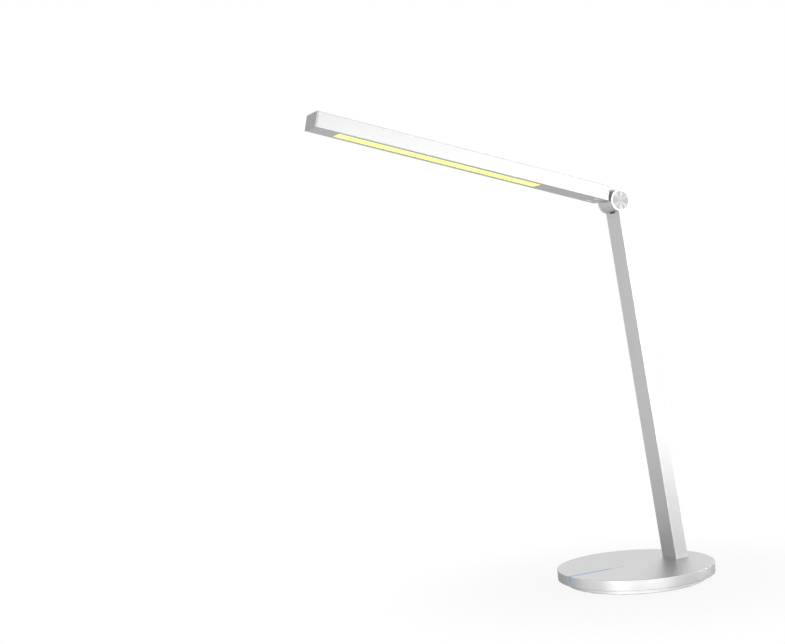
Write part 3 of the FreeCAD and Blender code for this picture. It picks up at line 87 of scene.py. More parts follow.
print("hinge at", HINGE.round(2), "mm")

# %% [markdown]
# The photograph was taken from the front right, a little above the middle of the lamp, with a
# normal lens and the camera rolled by five degrees. The camera's place comes from fitting the
# edges of the mast, the head and the round base. The matrix of a camera or lamp holds its right, its
# up, the way back from what it looks at, and its place as columns, so one function puts either there.

# %% Camera


def new_object(name, data):
    """A new object in the scene."""
    made = bpy.data.objects.new(name, data)
    bpy.context.scene.collection.objects.link(made)
    return made


def aim(item, right, up, back, place):
    """Sets the matrix of a camera or lamp from its three axes and its place in metres."""
    columns = np.stack([right, up, back, place], 1)
    item.matrix_world = Matrix(np.block([[columns], [0, 0, 0, 1]]).tolist())


YAW, PITCH, ROLL = np.radians([64.932, -0.063, -5.055])
FOCAL_PIXELS, PICTURE_WIDTH, SENSOR = 1317.451, 785, 36.0
CAMERA_PLACE = np.array([1203.926, -829.480, 306.968]) * MM
look = np.array([-np.sin(YAW) * np.cos(PITCH), np.cos(YAW) * np.cos(PITCH), np.sin(PITCH)])
level = np.array([np.cos(YAW), np.sin(YAW), 0.0])
above = np.cross(level, look)
right = level * np.cos(ROLL) + above * np.sin(ROLL)
up = -level * np.sin(ROLL) + above * np.cos(ROLL)
lens = bpy.data.cameras.new("lens")
lens.sensor_width = SENSOR
lens.lens = FOCAL_PIXELS * SENSOR / PICTURE_WIDTH
camera = new_object("camera", lens)
aim(camera, right, up, -look, CAMERA_PLACE)
bpy.context.scene.camera = camera
bpy.context.scene.view_settings.view_transform = "Standard"
print("lens", round(lens.lens, 2), "mm")

# %% [markdown]
# A material's nodes could be set up one by one, but shader maths reads best as sums. A wire stands for
# one socket of one node, and adding, subtracting or multiplying wires puts the Math node there.

# %% Wires


class Wire:
    """A value that runs through the nodes of a material or world, which can be used in sums."""

    def __init__(self, nodes, socket):
        self.nodes = nodes
        self.socket = socket

    def math(self, operation, *others):
        """A Math node on this value and the others."""
        values = dict(enumerate((self, *others)))
        return self.nodes.node("ShaderNodeMath", {"operation": operation}, values)

    def __add__(self, other):
        return self.math("ADD", other)

    def __sub__(self, other):
        return self.math("SUBTRACT", other)

    def __rsub__(self, other):
        return (self * -1) + other

    def __mul__(self, other):
        return self.math("MULTIPLY", other)

    def between(self, low, high):
        """0 below low, 1 above high, and smooth between them."""
        settings = {"interpolation_type": "SMOOTHSTEP"}
        return self.nodes.node("ShaderNodeMapRange", settings, {0: self, 1: low, 2: high})

    __radd__ = __add__
    __rmul__ = __mul__


print("wires are ready")

# %% [markdown]
# Every other node comes from one method, which takes the node's type, its settings and what goes into
# its sockets. A material and the world both have such a set of nodes, so they share it.

# %% Nodes


class Nodes:
    """The nodes of one material or of the world."""

    def __init__(self, owner):
        owner.use_nodes = True
        self.tree = owner.node_tree
        self.tree.nodes.clear()

    def plug(self, socket, value):
        """Links a wire to a socket, or writes a plain value in it."""
        if isinstance(value, Wire):
            self.tree.links.new(value.socket, socket)
        elif isinstance(value, (int, float)) or len(value) == len(socket.default_value):
            socket.default_value = value
        else:
            socket.default_value = (*value, 1.0)

    def node(self, kind, settings, values, output=0):
        """Any node: its type, its settings, and the values or wires of its sockets."""
        made = self.tree.nodes.new(kind)
        for name, value in settings.items():
            if name == "stops":
                for place, (position, colour) in enumerate(value):
                    if place > 1:
                        made.color_ramp.elements.new(position)
                    made.color_ramp.elements[place].position = position
                    made.color_ramp.elements[place].color = (*colour, 1.0)
            else:
                setattr(made, name, value)
        for name, value in values.items():
            self.plug(made.inputs[name], value)
        return made if output is None else Wire(self, made.outputs[output])

    def outputs(self, kind, values, names):
        """A node with several outputs, as one wire for each name or number."""
        made = self.node(kind, {}, values, None)
        return [Wire(self, made.outputs[name]) for name in names]


print("nodes are ready")

# %% [markdown]
# A finish is one material with a Principled shader. Its patterns read Object coordinates, so they keep
# their real size and stay on the piece while it moves.

# %% Finishes


class Finish(Nodes):
    """One material, its nodes and its Principled shader."""

    def __init__(self, name, **shader):
        self.material = bpy.data.materials.new(name)
        super().__init__(self.material)
        self.place = self.node("ShaderNodeTexCoord", {}, {}, "Object")
        made = self.node("ShaderNodeBsdfPrincipled", {}, {}, None)
        self.sockets = made.inputs
        self.surface = Wire(self, made.outputs[0])
        self.last = self.node("ShaderNodeOutputMaterial", {}, {"Surface": self.surface}, None)
        self.set(**shader)

    def set(self, **values):
        """Sets the shader's sockets, whose names are written with low lines."""
        for name, value in values.items():
            self.plug(self.sockets[name.replace("_", " ").title().replace("Ior", "IOR")], value)

    def noise(self, scale, detail=3.0):
        """Cloudy noise, with the scale in clouds per metre."""
        return self.node("ShaderNodeTexNoise", {}, {"Vector": self.place, "Scale": scale, "Detail": detail})

    def colours(self, amount, first, second):
        """A mix of two colours by a wire."""
        return self.node("ShaderNodeMix", {"data_type": "RGBA"}, {0: amount, 6: first, 7: second}, 2)

    def bump(self, height, strength, distance):
        """Small relief: the height is a wire from 0 to 1 and the distance is in metres."""
        values = {"Height": height, "Strength": strength, "Distance": distance}
        self.set(normal=self.node("ShaderNodeBump", {}, values))

    def axes(self, centre=(0, 0, 0), angles=(0, 0, 0)):
        """The place on the piece as three wires, measured from a centre in metres, after a turn."""
        values = {"Vector": self.place, "Location": [-value for value in centre]}
        moved = self.node("ShaderNodeMapping", {}, values)
        if any(angles):
            moved = self.node("ShaderNodeMapping", {}, {"Vector": moved, "Rotation": angles})
        return self.outputs("ShaderNodeSeparateXYZ", {"Vector": moved}, range(3))


FINISHES = {}
print("finishes are ready")

# %% [markdown]
# Most parts have a plain industrial finish: one colour with faint clouds in it, a roughness that
# wanders a little, and a grain. The clouds are centimetres wide and the grain is a fraction of a
# millimetre, so one function with a few numbers makes them all. The anodised silver is duller than
# bare metal where it is seen at a flat angle, and the specular tint says by how much.

# %% Plain finishes
GRAIN_HEIGHT = 0.05 * MM
WANDER = 0.06


def plain(name, colour, roughness, metallic=0.0, grain=0.0, grain_scale=3500.0, clouds=0.03, **others):
    """One colour and one roughness, varied by noise, with relief from a fine grain.

    Noise mixes colour x (1 - 2 clouds) with colour x (1 + clouds), and the roughness stays within
    WANDER of its value.
    """
    made = Finish(name, metallic=metallic, **others)
    broad = made.noise(28.0, 4.0)
    fine = made.noise(grain_scale, 2.0)
    darker = [channel * (1 - 2 * clouds) for channel in colour]
    lighter = [min(1.0, channel * (1 + clouds)) for channel in colour]
    made.set(base_color=made.colours(broad * 0.8 + fine * 0.2, darker, lighter))
    made.set(roughness=broad * WANDER + fine * WANDER + (roughness - WANDER))
    if grain:
        made.bump(fine, grain, GRAIN_HEIGHT)
    FINISHES[name] = made


DULL_EDGE = (0.74, 0.74, 0.74)
plain("satin_silver", (0.483, 0.483, 0.488), 0.39, 0.92, grain=0.05, specular_tint=DULL_EDGE)
plain("silver_plastic", (0.39, 0.39, 0.395), 0.40, 0.85, grain=0.15, specular_tint=DULL_EDGE)
plain("cast_silver", (0.47, 0.47, 0.475), 0.38, 0.9, grain=0.2, grain_scale=2400.0,
      specular_tint=DULL_EDGE)
plain("tray_grey", (0.56, 0.56, 0.565), 0.42, 0.8, grain=0.2, grain_scale=1800.0)
plain("weight_steel", (0.12, 0.12, 0.125), 0.5, 0.7, grain=0.4, grain_scale=900.0, clouds=0.12)
plain("rubber_pad", (0.10, 0.10, 0.105), 0.7, grain=0.5, grain_scale=1500.0)
plain("zinc_steel", (0.66, 0.66, 0.63), 0.3, 0.9, clouds=0.06)
plain("dark_steel", (0.72, 0.72, 0.73), 0.28, 0.9, clouds=0.06)
plain("friction_plastic", (0.86, 0.85, 0.79), 0.4)
plain("white_board", (0.82, 0.83, 0.81), 0.4, clouds=0.05)
plain("blue_lamp", (0.35, 0.50, 0.90), 0.2, emission_color=(0.2, 0.45, 0.9), emission_strength=0.5)
plain("white_lamp", (0.95, 0.80, 0.35), 0.3, emission_color=(1.0, 0.9, 0.6), emission_strength=0.5)
plain("reflector_white", (0.90, 0.90, 0.88), 0.35)
plain("black_plastic", (0.035, 0.035, 0.037), 0.4, grain=0.4)
plain("contact_brass", (0.80, 0.62, 0.30), 0.25, 1.0, clouds=0.08)
plain("white_sheath", (0.80, 0.80, 0.78), 0.45, clouds=0.05)
print(len(FINISHES), "plain finishes")

# %% [markdown]
# A circuit board is a green mask over copper. The tracks show through as slightly lighter lines,
# and a brick pattern seen along the board stands well for them.

# %% Circuit board
board = Finish("circuit_board", roughness=0.35, coat_weight=0.3)
tracks = board.node(
    "ShaderNodeTexBrick", {"offset": 0.37},
    {"Vector": board.place, "Scale": 160.0, "Mortar Size": 0.06, "Color1": (0.02, 0.16, 0.07),
     "Color2": (0.02, 0.19, 0.08), "Mortar": (0.05, 0.30, 0.13)}, "Color")
board.set(base_color=board.colours(board.noise(90.0) * 0.4, tracks, (0.015, 0.12, 0.05)))
FINISHES["circuit_board"] = board
print("board finish done")

# %% [markdown]
# The disc on each ear is turned on a lathe. Light falls across its fine rings in rays, and that is
# painted into the base colour: a painted reflection shaped as a star of six light rays, with painted
# shade in the darker sectors between them, inside a plain bright ring.
# Each ray is a smooth step on the cosine of the angle from its middle, so the star has no seam. A ray's
# middle is in degrees from the mast's own up towards its back, measured in the photograph and rounded
# to five degrees, and its height says how far it stands out from the dark. In the very middle of the
# disc, where the rays would crowd, they fade out.

# %% Spun aluminium
SPUN_RADIUS = 10.15
RAY_HALF, DARK, MIDDLE = 18.0, 0.32, 0.5
painted_ray_heights = {20: 0.55, 65: 0.3, 140: 0.45, 185: 0.55, 235: 0.35, 330: 0.45}
spun = Finish("spun_aluminium", metallic=0.92)
back, high = spun.axes(HINGE * MM)[1:]
distance = (back * back + high * high).math("SQRT")
angle = back.math("ARCTAN2", high) + float(LEAN)
ray_edge = float(np.cos(np.radians(RAY_HALF)))
# The star is a painted reflection: bright rays and painted shade between them, all in the base colour.
star = sum((angle - float(np.radians(turn))).math("COSINE").between(ray_edge, 1.0) * height
           for turn, height in painted_ray_heights.items())
rays = (star + (DARK - MIDDLE)) * distance.between(0.5 * MM, 3.0 * MM) + MIDDLE
on_face = 1 - distance.between((SPUN_RADIUS - 0.1) * MM, SPUN_RADIUS * MM)
painted_ray_tone = spun.colours(rays, (0.20, 0.20, 0.20), (0.43, 0.43, 0.43))
spun.set(base_color=spun.colours(on_face, (0.54, 0.54, 0.54), painted_ray_tone))
spun.set(roughness=on_face * 0.08 + spun.noise(1500.0) * 0.06 + 0.28)
FINISHES["spun_aluminium"] = spun
print("the spun face has", len(painted_ray_heights), "rays")

# %% [markdown]
# The diffuser is opal plastic with white lamps behind it. It glows an even pale yellow, a little
# fainter along its borders, where its flange lies on the metal and no lamp reaches. That light is
# emission on top of the plastic's own colour, at a level that stays just short of white. Along the
# borders the base colour is also darker: that is painted shade beside the window's metal edge.

# %% Opal
WINDOW_START, WINDOW_END, WINDOW_HALF = -97.5, -334.0, 9.5
window_middle = (WINDOW_START + WINDOW_END) / 2
window_reach = (WINDOW_START - WINDOW_END) / 2
opal = Finish("opal", roughness=0.4, emission_strength=1.0)
side, run = opal.axes(HINGE * MM, (float(RISE), 0, 0))[:2]
from_middle = (run - window_middle * MM).math("ABSOLUTE")
inside_ends = 1 - from_middle.between((window_reach - 1.05) * MM, (window_reach - 0.15) * MM)
inside_sides = 1 - side.math("ABSOLUTE").between((WINDOW_HALF - 1.8) * MM, (WINDOW_HALF - 0.8) * MM)
glow = inside_sides * inside_ends
even = opal.noise(30.0) * 0.04 + 0.98
# The darker border in the base colour is painted shade along the window's edge; the fainter emission there is the
# lamp's own.
opal.set(base_color=opal.colours(glow, (0.20, 0.20, 0.07), (0.55, 0.54, 0.25)))
opal.set(emission_color=opal.colours(glow * even, (0.02, 0.02, 0.0), (0.58, 0.60, 0.08)))
FINISHES["opal"] = opal
print("the glow reaches", window_reach, "mm to each side of", window_middle)

# %% [markdown]
# The touch slide is a clear strip with blue lamps under it. It shows a soft blue that is fainter along
# its sides and on the short leg over the rim, and beyond its end the narrow tail stays dark.

# %% Lit light guide
BASE_RADIUS, SLIDE_END = 85.0, 31.5
guide = Finish("guide_clear", roughness=0.35, emission_strength=1.0)
side, run = guide.axes()[:2]
lit = 1 - run.between((-SLIDE_END - 0.7) * MM, (-SLIDE_END + 0.3) * MM)
fade = 1 - side.math("ABSOLUTE").between(1.0 * MM, 2.3 * MM) * 0.35
on_rim = 1 - run.between((0.1 - BASE_RADIUS) * MM, (0.5 - BASE_RADIUS) * MM)
light = guide.colours(on_rim, (0.02, 0.10, 0.22), (0.16, 0.22, 0.29))
guide.set(base_color=guide.colours(lit, (0.10, 0.12, 0.16), (0.03, 0.12, 0.26)))
guide.set(emission_color=guide.colours(lit * fade, (0.0, 0.0, 0.0), light))
FINISHES["guide_clear"] = guide
print("the slide is lit from", -BASE_RADIUS, "to", -SLIDE_END, "mm")

# %% [markdown]
# Every shape starts from a few corners in a plane. They could stay sharp, but real edges never are, and
# a small round catches the light. So each corner becomes an arc first.

# %% Outlines with round corners


def unit(rows):
    """Every row divided by its length."""
    return rows / np.maximum(np.linalg.norm(rows, axis=-1, keepdims=True), 1e-12)


def rounded(corners, radii, steps=6):
    """Each corner becomes an arc that touches its two sides, and a radius of 0 leaves it sharp.

    The arc's centre lies on the corner's middle line, radius / sin(half angle) away, and the arc swings
    from one touching point to the other: (sin((1 - t) s) first + sin(t s) last) / sin(s), with t from
    0 to 1 and s the angle that it sweeps.
    """
    corner = np.asarray(corners, float)
    radius = np.broadcast_to(np.asarray(radii, float), (len(corner),))[:, None]
    to_last = unit(np.roll(corner, 1, 0) - corner)
    to_next = unit(np.roll(corner, -1, 0) - corner)
    half = np.arccos(np.clip((to_last * to_next).sum(1, keepdims=True), -1, 1)) / 2
    centre = corner + unit(to_last + to_next) * radius / np.sin(half)
    first = corner + to_last * radius / np.tan(half) - centre
    last = corner + to_next * radius / np.tan(half) - centre
    sweep = np.maximum(np.pi - 2 * half, 1e-6)[:, None]
    part = np.linspace(0, 1, steps)[None, :, None]
    swing = np.sin((1 - part) * sweep) * first[:, None] + np.sin(part * sweep) * last[:, None]
    return (centre[:, None] + swing / np.sin(sweep)).reshape(-1, 2)


def box_outline(left, right, bottom, top, radius=0.0):
    """A rectangle that runs anticlockwise, with rounded corners."""
    return rounded([(left, bottom), (right, bottom), (right, top), (left, top)], radius)


def inner_box(box, depth, radius):
    """A box (left, right, bottom, top) with each side moved in by the depth, as an outline."""
    left, right, bottom, top = box
    return box_outline(left + depth, right - depth, bottom + depth, top - depth, radius)


print("a rectangle with rounds has", len(box_outline(0, 2, 0, 1, 0.1)), "points")

# %% [markdown]
# A turned part is a profile of (radius, height) pairs that goes once round an axis. Blender's Spin
# could do it, but a grid of points is shorter: the rows are the profile, the columns the turn, and the
# faces are the quads between neighbours.

# %% Turned surfaces


def quads(rows, columns, closed=False):
    """Faces between neighbours of a grid whose columns join up, and whose rows do when closed."""
    row, column = np.meshgrid(np.arange(rows if closed else rows - 1), np.arange(columns), indexing="ij")
    this_row, next_row = row * columns, (row + 1) % rows * columns
    beside = (column + 1) % columns
    corners = [this_row + column, this_row + beside, next_row + beside, next_row + column]
    return np.stack(corners, -1).reshape(-1, 4).tolist()


AXES = {"x": (2, 0, 1), "y": (0, 2, 1), "z": (0, 1, 2)}


def lathe(profile, axis="z", centre=(0, 0, 0), turns=144, closed=False):
    """A profile of (radius, height) turned round an axis: u = r cos a, v = r sin a, and h along it."""
    radius, height = np.asarray(profile, float).T[:, :, None]
    angle = np.linspace(0, 2 * np.pi, turns, endpoint=False)[None, :]
    grid = np.stack([radius * np.cos(angle), radius * np.sin(angle), height + 0 * angle], -1)
    points = grid.reshape(-1, 3)[:, AXES[axis]] + np.asarray(centre, float)
    return points, quads(len(profile), turns, closed)


print("a turned profile of 4 points has", len(lathe(np.ones((4, 2)))[1]), "faces")

# %% [markdown]
# A straight part is an outline that is carried along an axis, like an extruded bar. The ends are
# rounded by drawing the last rings in a little, and a tube has an outer and an inner outline.

# %% Carried outlines


def outward(outline):
    """Unit vectors square to a closed outline that runs anticlockwise, pointing out of it."""
    along = unit(np.roll(outline, -1, 0) - outline) + unit(outline - np.roll(outline, 1, 0))
    return unit(np.stack([along[:, 1], -along[:, 0]], 1))


def prism(outline, low, high, axis="x", edge=0.0, steps=4):
    """An outline carried from low to high, whose end edges are quarter rounds of the radius edge.

    At the angle b along a quarter round the outline is edge (1 - sin b) further in, and it stands
    edge (1 - cos b) from the end.
    """
    outline = np.asarray(outline, float)
    keep = np.linalg.norm(outline - np.roll(outline, 1, 0), axis=1) > 1e-6
    outline = outline[keep]
    bend = np.linspace(0, np.pi / 2, steps) if edge else np.array([np.pi / 2])
    inset = edge * (1 - np.sin(bend))
    rise = edge * (1 - np.cos(bend))
    inset = np.concatenate([inset, inset[::-1]])[:, None, None]
    place = np.concatenate([low + rise, high - rise[::-1]])[:, None]
    flat = outline[None] - outward(outline)[None] * inset
    grid = np.concatenate([flat, np.broadcast_to(place[..., None], (*flat.shape[:2], 1))], -1)
    count = len(outline)
    ends = [list(range(count)), list(range(count * (len(inset) - 1), count * len(inset)))]
    return grid.reshape(-1, 3)[:, AXES[axis]], quads(len(inset), count) + ends


def sleeve(outer, inner, low, high, axis="y"):
    """A straight tube between an outer and an inner outline that have the same number of points."""
    rings = [(outer, low), (outer, high), (inner, high), (inner, low)]
    grid = [np.column_stack([ring, np.full(len(ring), place)]) for ring, place in rings]
    return np.concatenate(grid)[:, AXES[axis]], quads(4, len(outer), closed=True)


print("a plain box has", len(prism(box_outline(0, 2, 0, 1), 0, 1)[1]), "faces")

# %% [markdown]
# A piece is one or more closed parts in one mesh. The points of a pole lie on one spot, so doubles are
# merged, and then the faces are turned outwards.

# %% Meshes


def mesh_of(name, parts, frame_of):
    """One mesh from closed parts, in metres, with doubles merged and faces turned outwards."""
    points, faces, count = [], [], 0
    for part_points, part_faces in parts:
        points.append(frame_of(part_points) * MM)
        faces += [[count + index for index in face] for face in part_faces]
        count += len(part_points)
    mesh = bpy.data.meshes.new(name)
    mesh.from_pydata(np.concatenate(points), [], faces)
    work = bmesh.new()
    work.from_mesh(mesh)
    bmesh.ops.remove_doubles(work, verts=work.verts, dist=1e-7)
    bmesh.ops.recalc_face_normals(work, faces=work.faces)
    work.to_mesh(mesh)
    work.free()
    return mesh


print("meshes are ready")

# %% [markdown]
# Holes and slots could be modelled face by face, but a Boolean cuts them as a mill does: a closed
# cutter is taken away, and the result becomes the piece's own mesh.

# %% Cuts


def carved(piece, cutters, frame_of):
    """Takes each closed cutter out of the piece's mesh."""
    for cutter in cutters:
        tool = new_object("cutter", mesh_of("cutter", [cutter], frame_of))
        cut = piece.modifiers.new("cut", "BOOLEAN")
        cut.object = tool
        cut.solver = "EXACT"
        graph = bpy.context.evaluated_depsgraph_get()
        mesh = bpy.data.meshes.new_from_object(piece.evaluated_get(graph))
        piece.modifiers.clear()
        piece.data = mesh
        bpy.data.objects.remove(tool)


print("cuts are ready")

# %% [markdown]
# A finished piece is smooth, with sharp edges where its faces meet at a steep angle. Flat faces stay
# flat beside a rounded edge because the normals are weighted by area. The piece says which body it
# rides on, which CAD nodes it stands for and which finish it has.

# %% Pieces


def add_piece(name, body, parts, finish, nodes, frame_of=on_base, cutters=(), inside=(), crease=32.0):
    """A finished piece that rides on a body and stands for CAD nodes."""
    piece = new_object(name, mesh_of(name, parts, frame_of))
    carved(piece, cutters, frame_of)
    if inside:
        work = bmesh.new()
        work.from_mesh(piece.data)
        work.from_mesh(mesh_of("inside", inside, frame_of))
        work.to_mesh(piece.data)
        work.free()
    piece.data.shade_smooth()
    piece.data.set_sharp_from_angle(angle=np.radians(crease))
    piece.modifiers.new("flat faces stay flat", "WEIGHTED_NORMAL").keep_sharp = True
    piece.data.materials.clear()
    piece.data.materials.append(FINISHES[finish].material)
    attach(piece, body)
    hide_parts(*nodes)
    piece.data.update()
    print(name, len(piece.data.polygons), "faces")


print("pieces are ready")

# %% [markdown]
# The base is a turned cap: a flat top, a short rim with a small round at its edge, and a wall inside.
# The touch slide is a slot in it that starts under the rim's edge, runs over the top and ends in a
# narrow tail. At the back a round hole lets the adapter's plug in.

# %% Base cap
BASE_TOP, RIM_BOTTOM, RIM_WALL, PLATE = 18.0, 7.0, 2.5, 3.0
RIM_INNER, UNDERSIDE = BASE_RADIUS - RIM_WALL, BASE_TOP - PLATE
SLIDE_HALF, SLIDE_DROP, TAIL_HALF, TAIL_END = 2.0, 5.0, 0.6, 16.0
cap_profile = rounded(
    [(0, BASE_TOP), (BASE_RADIUS, BASE_TOP), (BASE_RADIUS, RIM_BOTTOM), (RIM_INNER, RIM_BOTTOM),
     (RIM_INNER, UNDERSIDE), (0, UNDERSIDE)],
    [0, 0.6, 0.5, 0.3, 0.8, 0])
below, above, outside = UNDERSIDE - 1, BASE_TOP + 2, BASE_RADIUS + 5
slide_cut = prism(box_outline(-SLIDE_HALF, SLIDE_HALF, -outside, -SLIDE_END), below, above, "z")
drop_cut = prism(box_outline(-SLIDE_HALF, SLIDE_HALF, -outside, -RIM_INNER - 0.1),
                 BASE_TOP - SLIDE_DROP, above, "z")
tail_cut = prism(box_outline(-TAIL_HALF, TAIL_HALF, -SLIDE_END - 1, -TAIL_END), below, above, "z")
INLET_HEIGHT, INLET_HOLE = 11.5, 3.4
inlet_cut = lathe([(0, 79), (INLET_HOLE, 79), (INLET_HOLE, outside), (0, outside)], "y",
                  (0, 0, INLET_HEIGHT), 48)


def four_places(distance, start):
    """Four points (distance cos a, distance sin a) a quarter turn apart, from a start in degrees."""
    angle = np.radians(start + 90 * np.arange(4))
    return distance * np.stack([np.cos(angle), np.sin(angle)], 1)


def lathes(profile, places, turns):
    """The same upright turned part at several places (x, y)."""
    return [lathe(profile, "z", (x, y, 0), turns) for x, y in places]


SCREW_DISTANCE, SCREW_START, POST_RADIUS, POST_BOTTOM = 60.0, 59, 4.0, 5.5
screw_places = four_places(SCREW_DISTANCE, SCREW_START)
posts = lathes([(0, POST_BOTTOM), (POST_RADIUS, POST_BOTTOM), (POST_RADIUS, UNDERSIDE), (0, UNDERSIDE)],
               screw_places, 40)
add_piece("base_cap", "stand", [lathe(cap_profile, turns=240)], "satin_silver", ["base_shell"],
          cutters=[slide_cut, drop_cut, tail_cut, inlet_cut], inside=posts)

# %% [markdown]
# The slide is filled by one clear moulding. Seen from the side it is an L: a long bar on the top and
# a short leg over the rim. Its outer corner has the rim's round, so that it lies flush.

# %% Light guide
ROOM = 0.05
leg_bottom, leg_inner = BASE_TOP - SLIDE_DROP + ROOM, -RIM_INNER - 0.15
guide_bottom, guide_end = UNDERSIDE + 0.6, -SLIDE_END - ROOM
guide_side = rounded(
    [(-BASE_RADIUS, leg_bottom), (leg_inner, leg_bottom), (leg_inner, guide_bottom),
     (guide_end, guide_bottom), (guide_end, BASE_TOP), (-BASE_RADIUS, BASE_TOP)],
    [0.05, 0.05, 0.05, 0.05, 0.05, 0.6])
tail_side = box_outline(-SLIDE_END - 0.04, -TAIL_END - ROOM, guide_bottom, BASE_TOP, 0.04)
add_piece("touch_slide", "stand", [
    prism(guide_side, -SLIDE_HALF + ROOM, SLIDE_HALF - ROOM, "x", 0.03, 3),
    prism(tail_side, -TAIL_HALF + ROOM, TAIL_HALF - ROOM, "x", 0.03, 3)], "guide_clear", ["light_guide"])

# %% [markdown]
# Under the rim stands the tray, a lower ring 9.5 mm further in, whose floor carries four rubber pads
# in shallow seats and has four screws in recesses.

# %% Tray
FOOT_RADIUS, FOOT_BOTTOM, FOOT_WALL, TRAY_FLOOR = BASE_RADIUS - 9.5, 1.5, 2.5, 3.5
FLANGE_RADIUS, FLANGE_TOP = RIM_INNER - 0.25, 8.5
PAD_RADIUS, PAD_TOP, RECESS_RADIUS, RECESS_TOP = 5.0, 2.1, 3.05, 3.4
wall_inner = FOOT_RADIUS - FOOT_WALL
tray_profile = rounded(
    [(0, FOOT_BOTTOM), (FOOT_RADIUS, FOOT_BOTTOM), (FOOT_RADIUS, RIM_BOTTOM), (FLANGE_RADIUS, RIM_BOTTOM),
     (FLANGE_RADIUS, FLANGE_TOP), (wall_inner, FLANGE_TOP), (wall_inner, TRAY_FLOOR), (0, TRAY_FLOOR)],
    [0, 0.6, 0.2, 0.1, 0.1, 0.1, 0.5, 0])
pad_places = four_places(66.0, 14)
seats = lathes([(0, 0), (PAD_RADIUS, 0), (PAD_RADIUS, PAD_TOP), (0, PAD_TOP)], pad_places, 48)
seats += lathes([(0, 0), (RECESS_RADIUS, 0), (RECESS_RADIUS, RECESS_TOP), (0, RECESS_TOP)], screw_places, 40)
add_piece("base_foot", "stand", [lathe(tray_profile, turns=240)], "tray_grey", ["base_tray"], cutters=seats)

# %% [markdown]
# The pads are short plugs of rubber with a soft lower edge. Each screw has a round head with a cross
# recess in it, and its shank goes up into a post of the base cap.

# %% Pads and screws
pad_side = PAD_RADIUS - 0.1
pad_profile = rounded([(0, 0), (pad_side, 0), (pad_side, PAD_TOP), (0, PAD_TOP)], [0, 0.5, 0.1, 0])
add_piece("rubber_feet", "stand", lathes(pad_profile, pad_places, 48), "rubber_pad", ["foot_pads"])
HEAD_RADIUS, HEAD_START, HEAD_STOP, SHANK_RADIUS, SHANK_END = 2.8, 1.75, 3.38, 1.4, 12.4
screw_profile = rounded(
    [(0, HEAD_START), (HEAD_RADIUS, HEAD_START), (HEAD_RADIUS, HEAD_STOP), (SHANK_RADIUS, HEAD_STOP),
     (SHANK_RADIUS, SHANK_END), (0, SHANK_END)],
    [0, 0.6, 0.1, 0, 0.2, 0])
cross = [box_outline(-0.35, 0.35, -1.6, 1.6), box_outline(-1.6, 1.6, -0.35, 0.35)]
recesses = [prism(bar + place, 1, 2.6, "z") for place in screw_places for bar in cross]
add_piece("tray_fixings", "stand", lathes(screw_profile, screw_places, 40), "zinc_steel", ["tray_screws"],
          cutters=recesses)

# %% [markdown]
# The inlet shows only as a dark ring in the back of the rim, with a bore and a pin inside it.

# %% Inlet
BORE_RADIUS, NOSE_RADIUS, NOSE_START, NOSE_END, INLET_REAR = 2.9, 3.3, 75.2, 84.7, 70.4
inlet_centre = (0, 0, INLET_HEIGHT)
nose_profile = rounded([(BORE_RADIUS, NOSE_START), (NOSE_RADIUS, NOSE_START), (NOSE_RADIUS, NOSE_END),
                        (BORE_RADIUS, NOSE_END)], [0, 0, 0.15, 0.15])
nose = lathe(nose_profile, "y", inlet_centre, 64, closed=True)
inlet_body = prism(box_outline(-4.5, 4.5, 8, 14.9, 0.3), INLET_REAR, NOSE_START, "y")
add_piece("plug_inlet", "stand", [nose, inlet_body], "black_plastic", ["dc_inlet"])
pin_end = NOSE_END - 1
pin_profile = rounded([(0, NOSE_START), (1, NOSE_START), (1, pin_end), (0, pin_end)], [0, 0, 0.6, 0])
pin = lathe(pin_profile, "y", inlet_centre, 40)
add_piece("plug_pin", "stand", [pin], "contact_brass", ["inlet_pin"])

# %% [markdown]
# The mast is a rectangular tube with small rounds along its four edges. Its foot is cut level, at a
# slant to the tube, so the lowest ring of points is moved onto the base's top afterwards.

# %% Mast
MAST_FRONT, MAST_BACK, MAST_HALF, TUBE_WALL = -4.0, 12.0, 12.5, 1.5
MAST_BOX = (-MAST_HALF, MAST_HALF, MAST_FRONT, MAST_BACK)
SEAM, SEAM_GAP, MAST_FOOT = -16.0, 0.06, -399.0
mast_points, mast_faces = sleeve(
    inner_box(MAST_BOX, 0, 0.5), inner_box(MAST_BOX, TUBE_WALL, 0.3), MAST_FOOT, SEAM - SEAM_GAP, "z")
foot = mast_points[:, 2] < MAST_FOOT + 1
mast_points[foot, 2] -= (mast_points[foot, 1] - MAST_FRONT) * np.tan(LEAN)
add_piece("mast", "stand", [(mast_points, mast_faces)], "satin_silver", ["mast_tube"], on_mast)

# %% [markdown]
# The fork on top of the mast is one casting: seen from the side a circle on a short block, as wide as
# the mast, with a slot for the barrel. The slot goes a little deeper than the barrel, which shows as
# a dark line under it. A plug goes down into the tube.

# %% Fork
KNUCKLE, SLOT_HALF, SLOT_GAP, FORK_PLUG = 12.0, 5.0, 0.8, 28.0


def arc(radius, start, stop):
    """Points (radius cos a, radius sin a) for angles from start to stop."""
    angle = np.linspace(start, stop, 120)
    return radius * np.stack([np.cos(angle), np.sin(angle)], 1)


front_angle = 2 * np.pi - np.arccos(MAST_FRONT / KNUCKLE)
ear_side = np.concatenate([arc(KNUCKLE, 0, front_angle), [(MAST_FRONT, SEAM), (MAST_BACK, SEAM)]])
ears = prism(ear_side, -MAST_HALF, MAST_HALF, "x", 0.12)
slot = prism(box_outline(-20, 20, -KNUCKLE - SLOT_GAP, 14), -SLOT_HALF, SLOT_HALF, "x")
plug = prism(inner_box(MAST_BOX, TUBE_WALL + 0.1, 0.3), SEAM - FORK_PLUG, SEAM, "z")
add_piece("hinge_fork", "stand", [ears], "cast_silver", ["mast_fork"], on_mast, cutters=[slot],
          inside=[plug], crease=25.0)

# %% [markdown]
# Each disc has a bright flat ring with a small bevel, and inside it the spun face, a fifth of a
# millimetre lower. The rings of the spinning are real grooves: a sine wave along the radius.

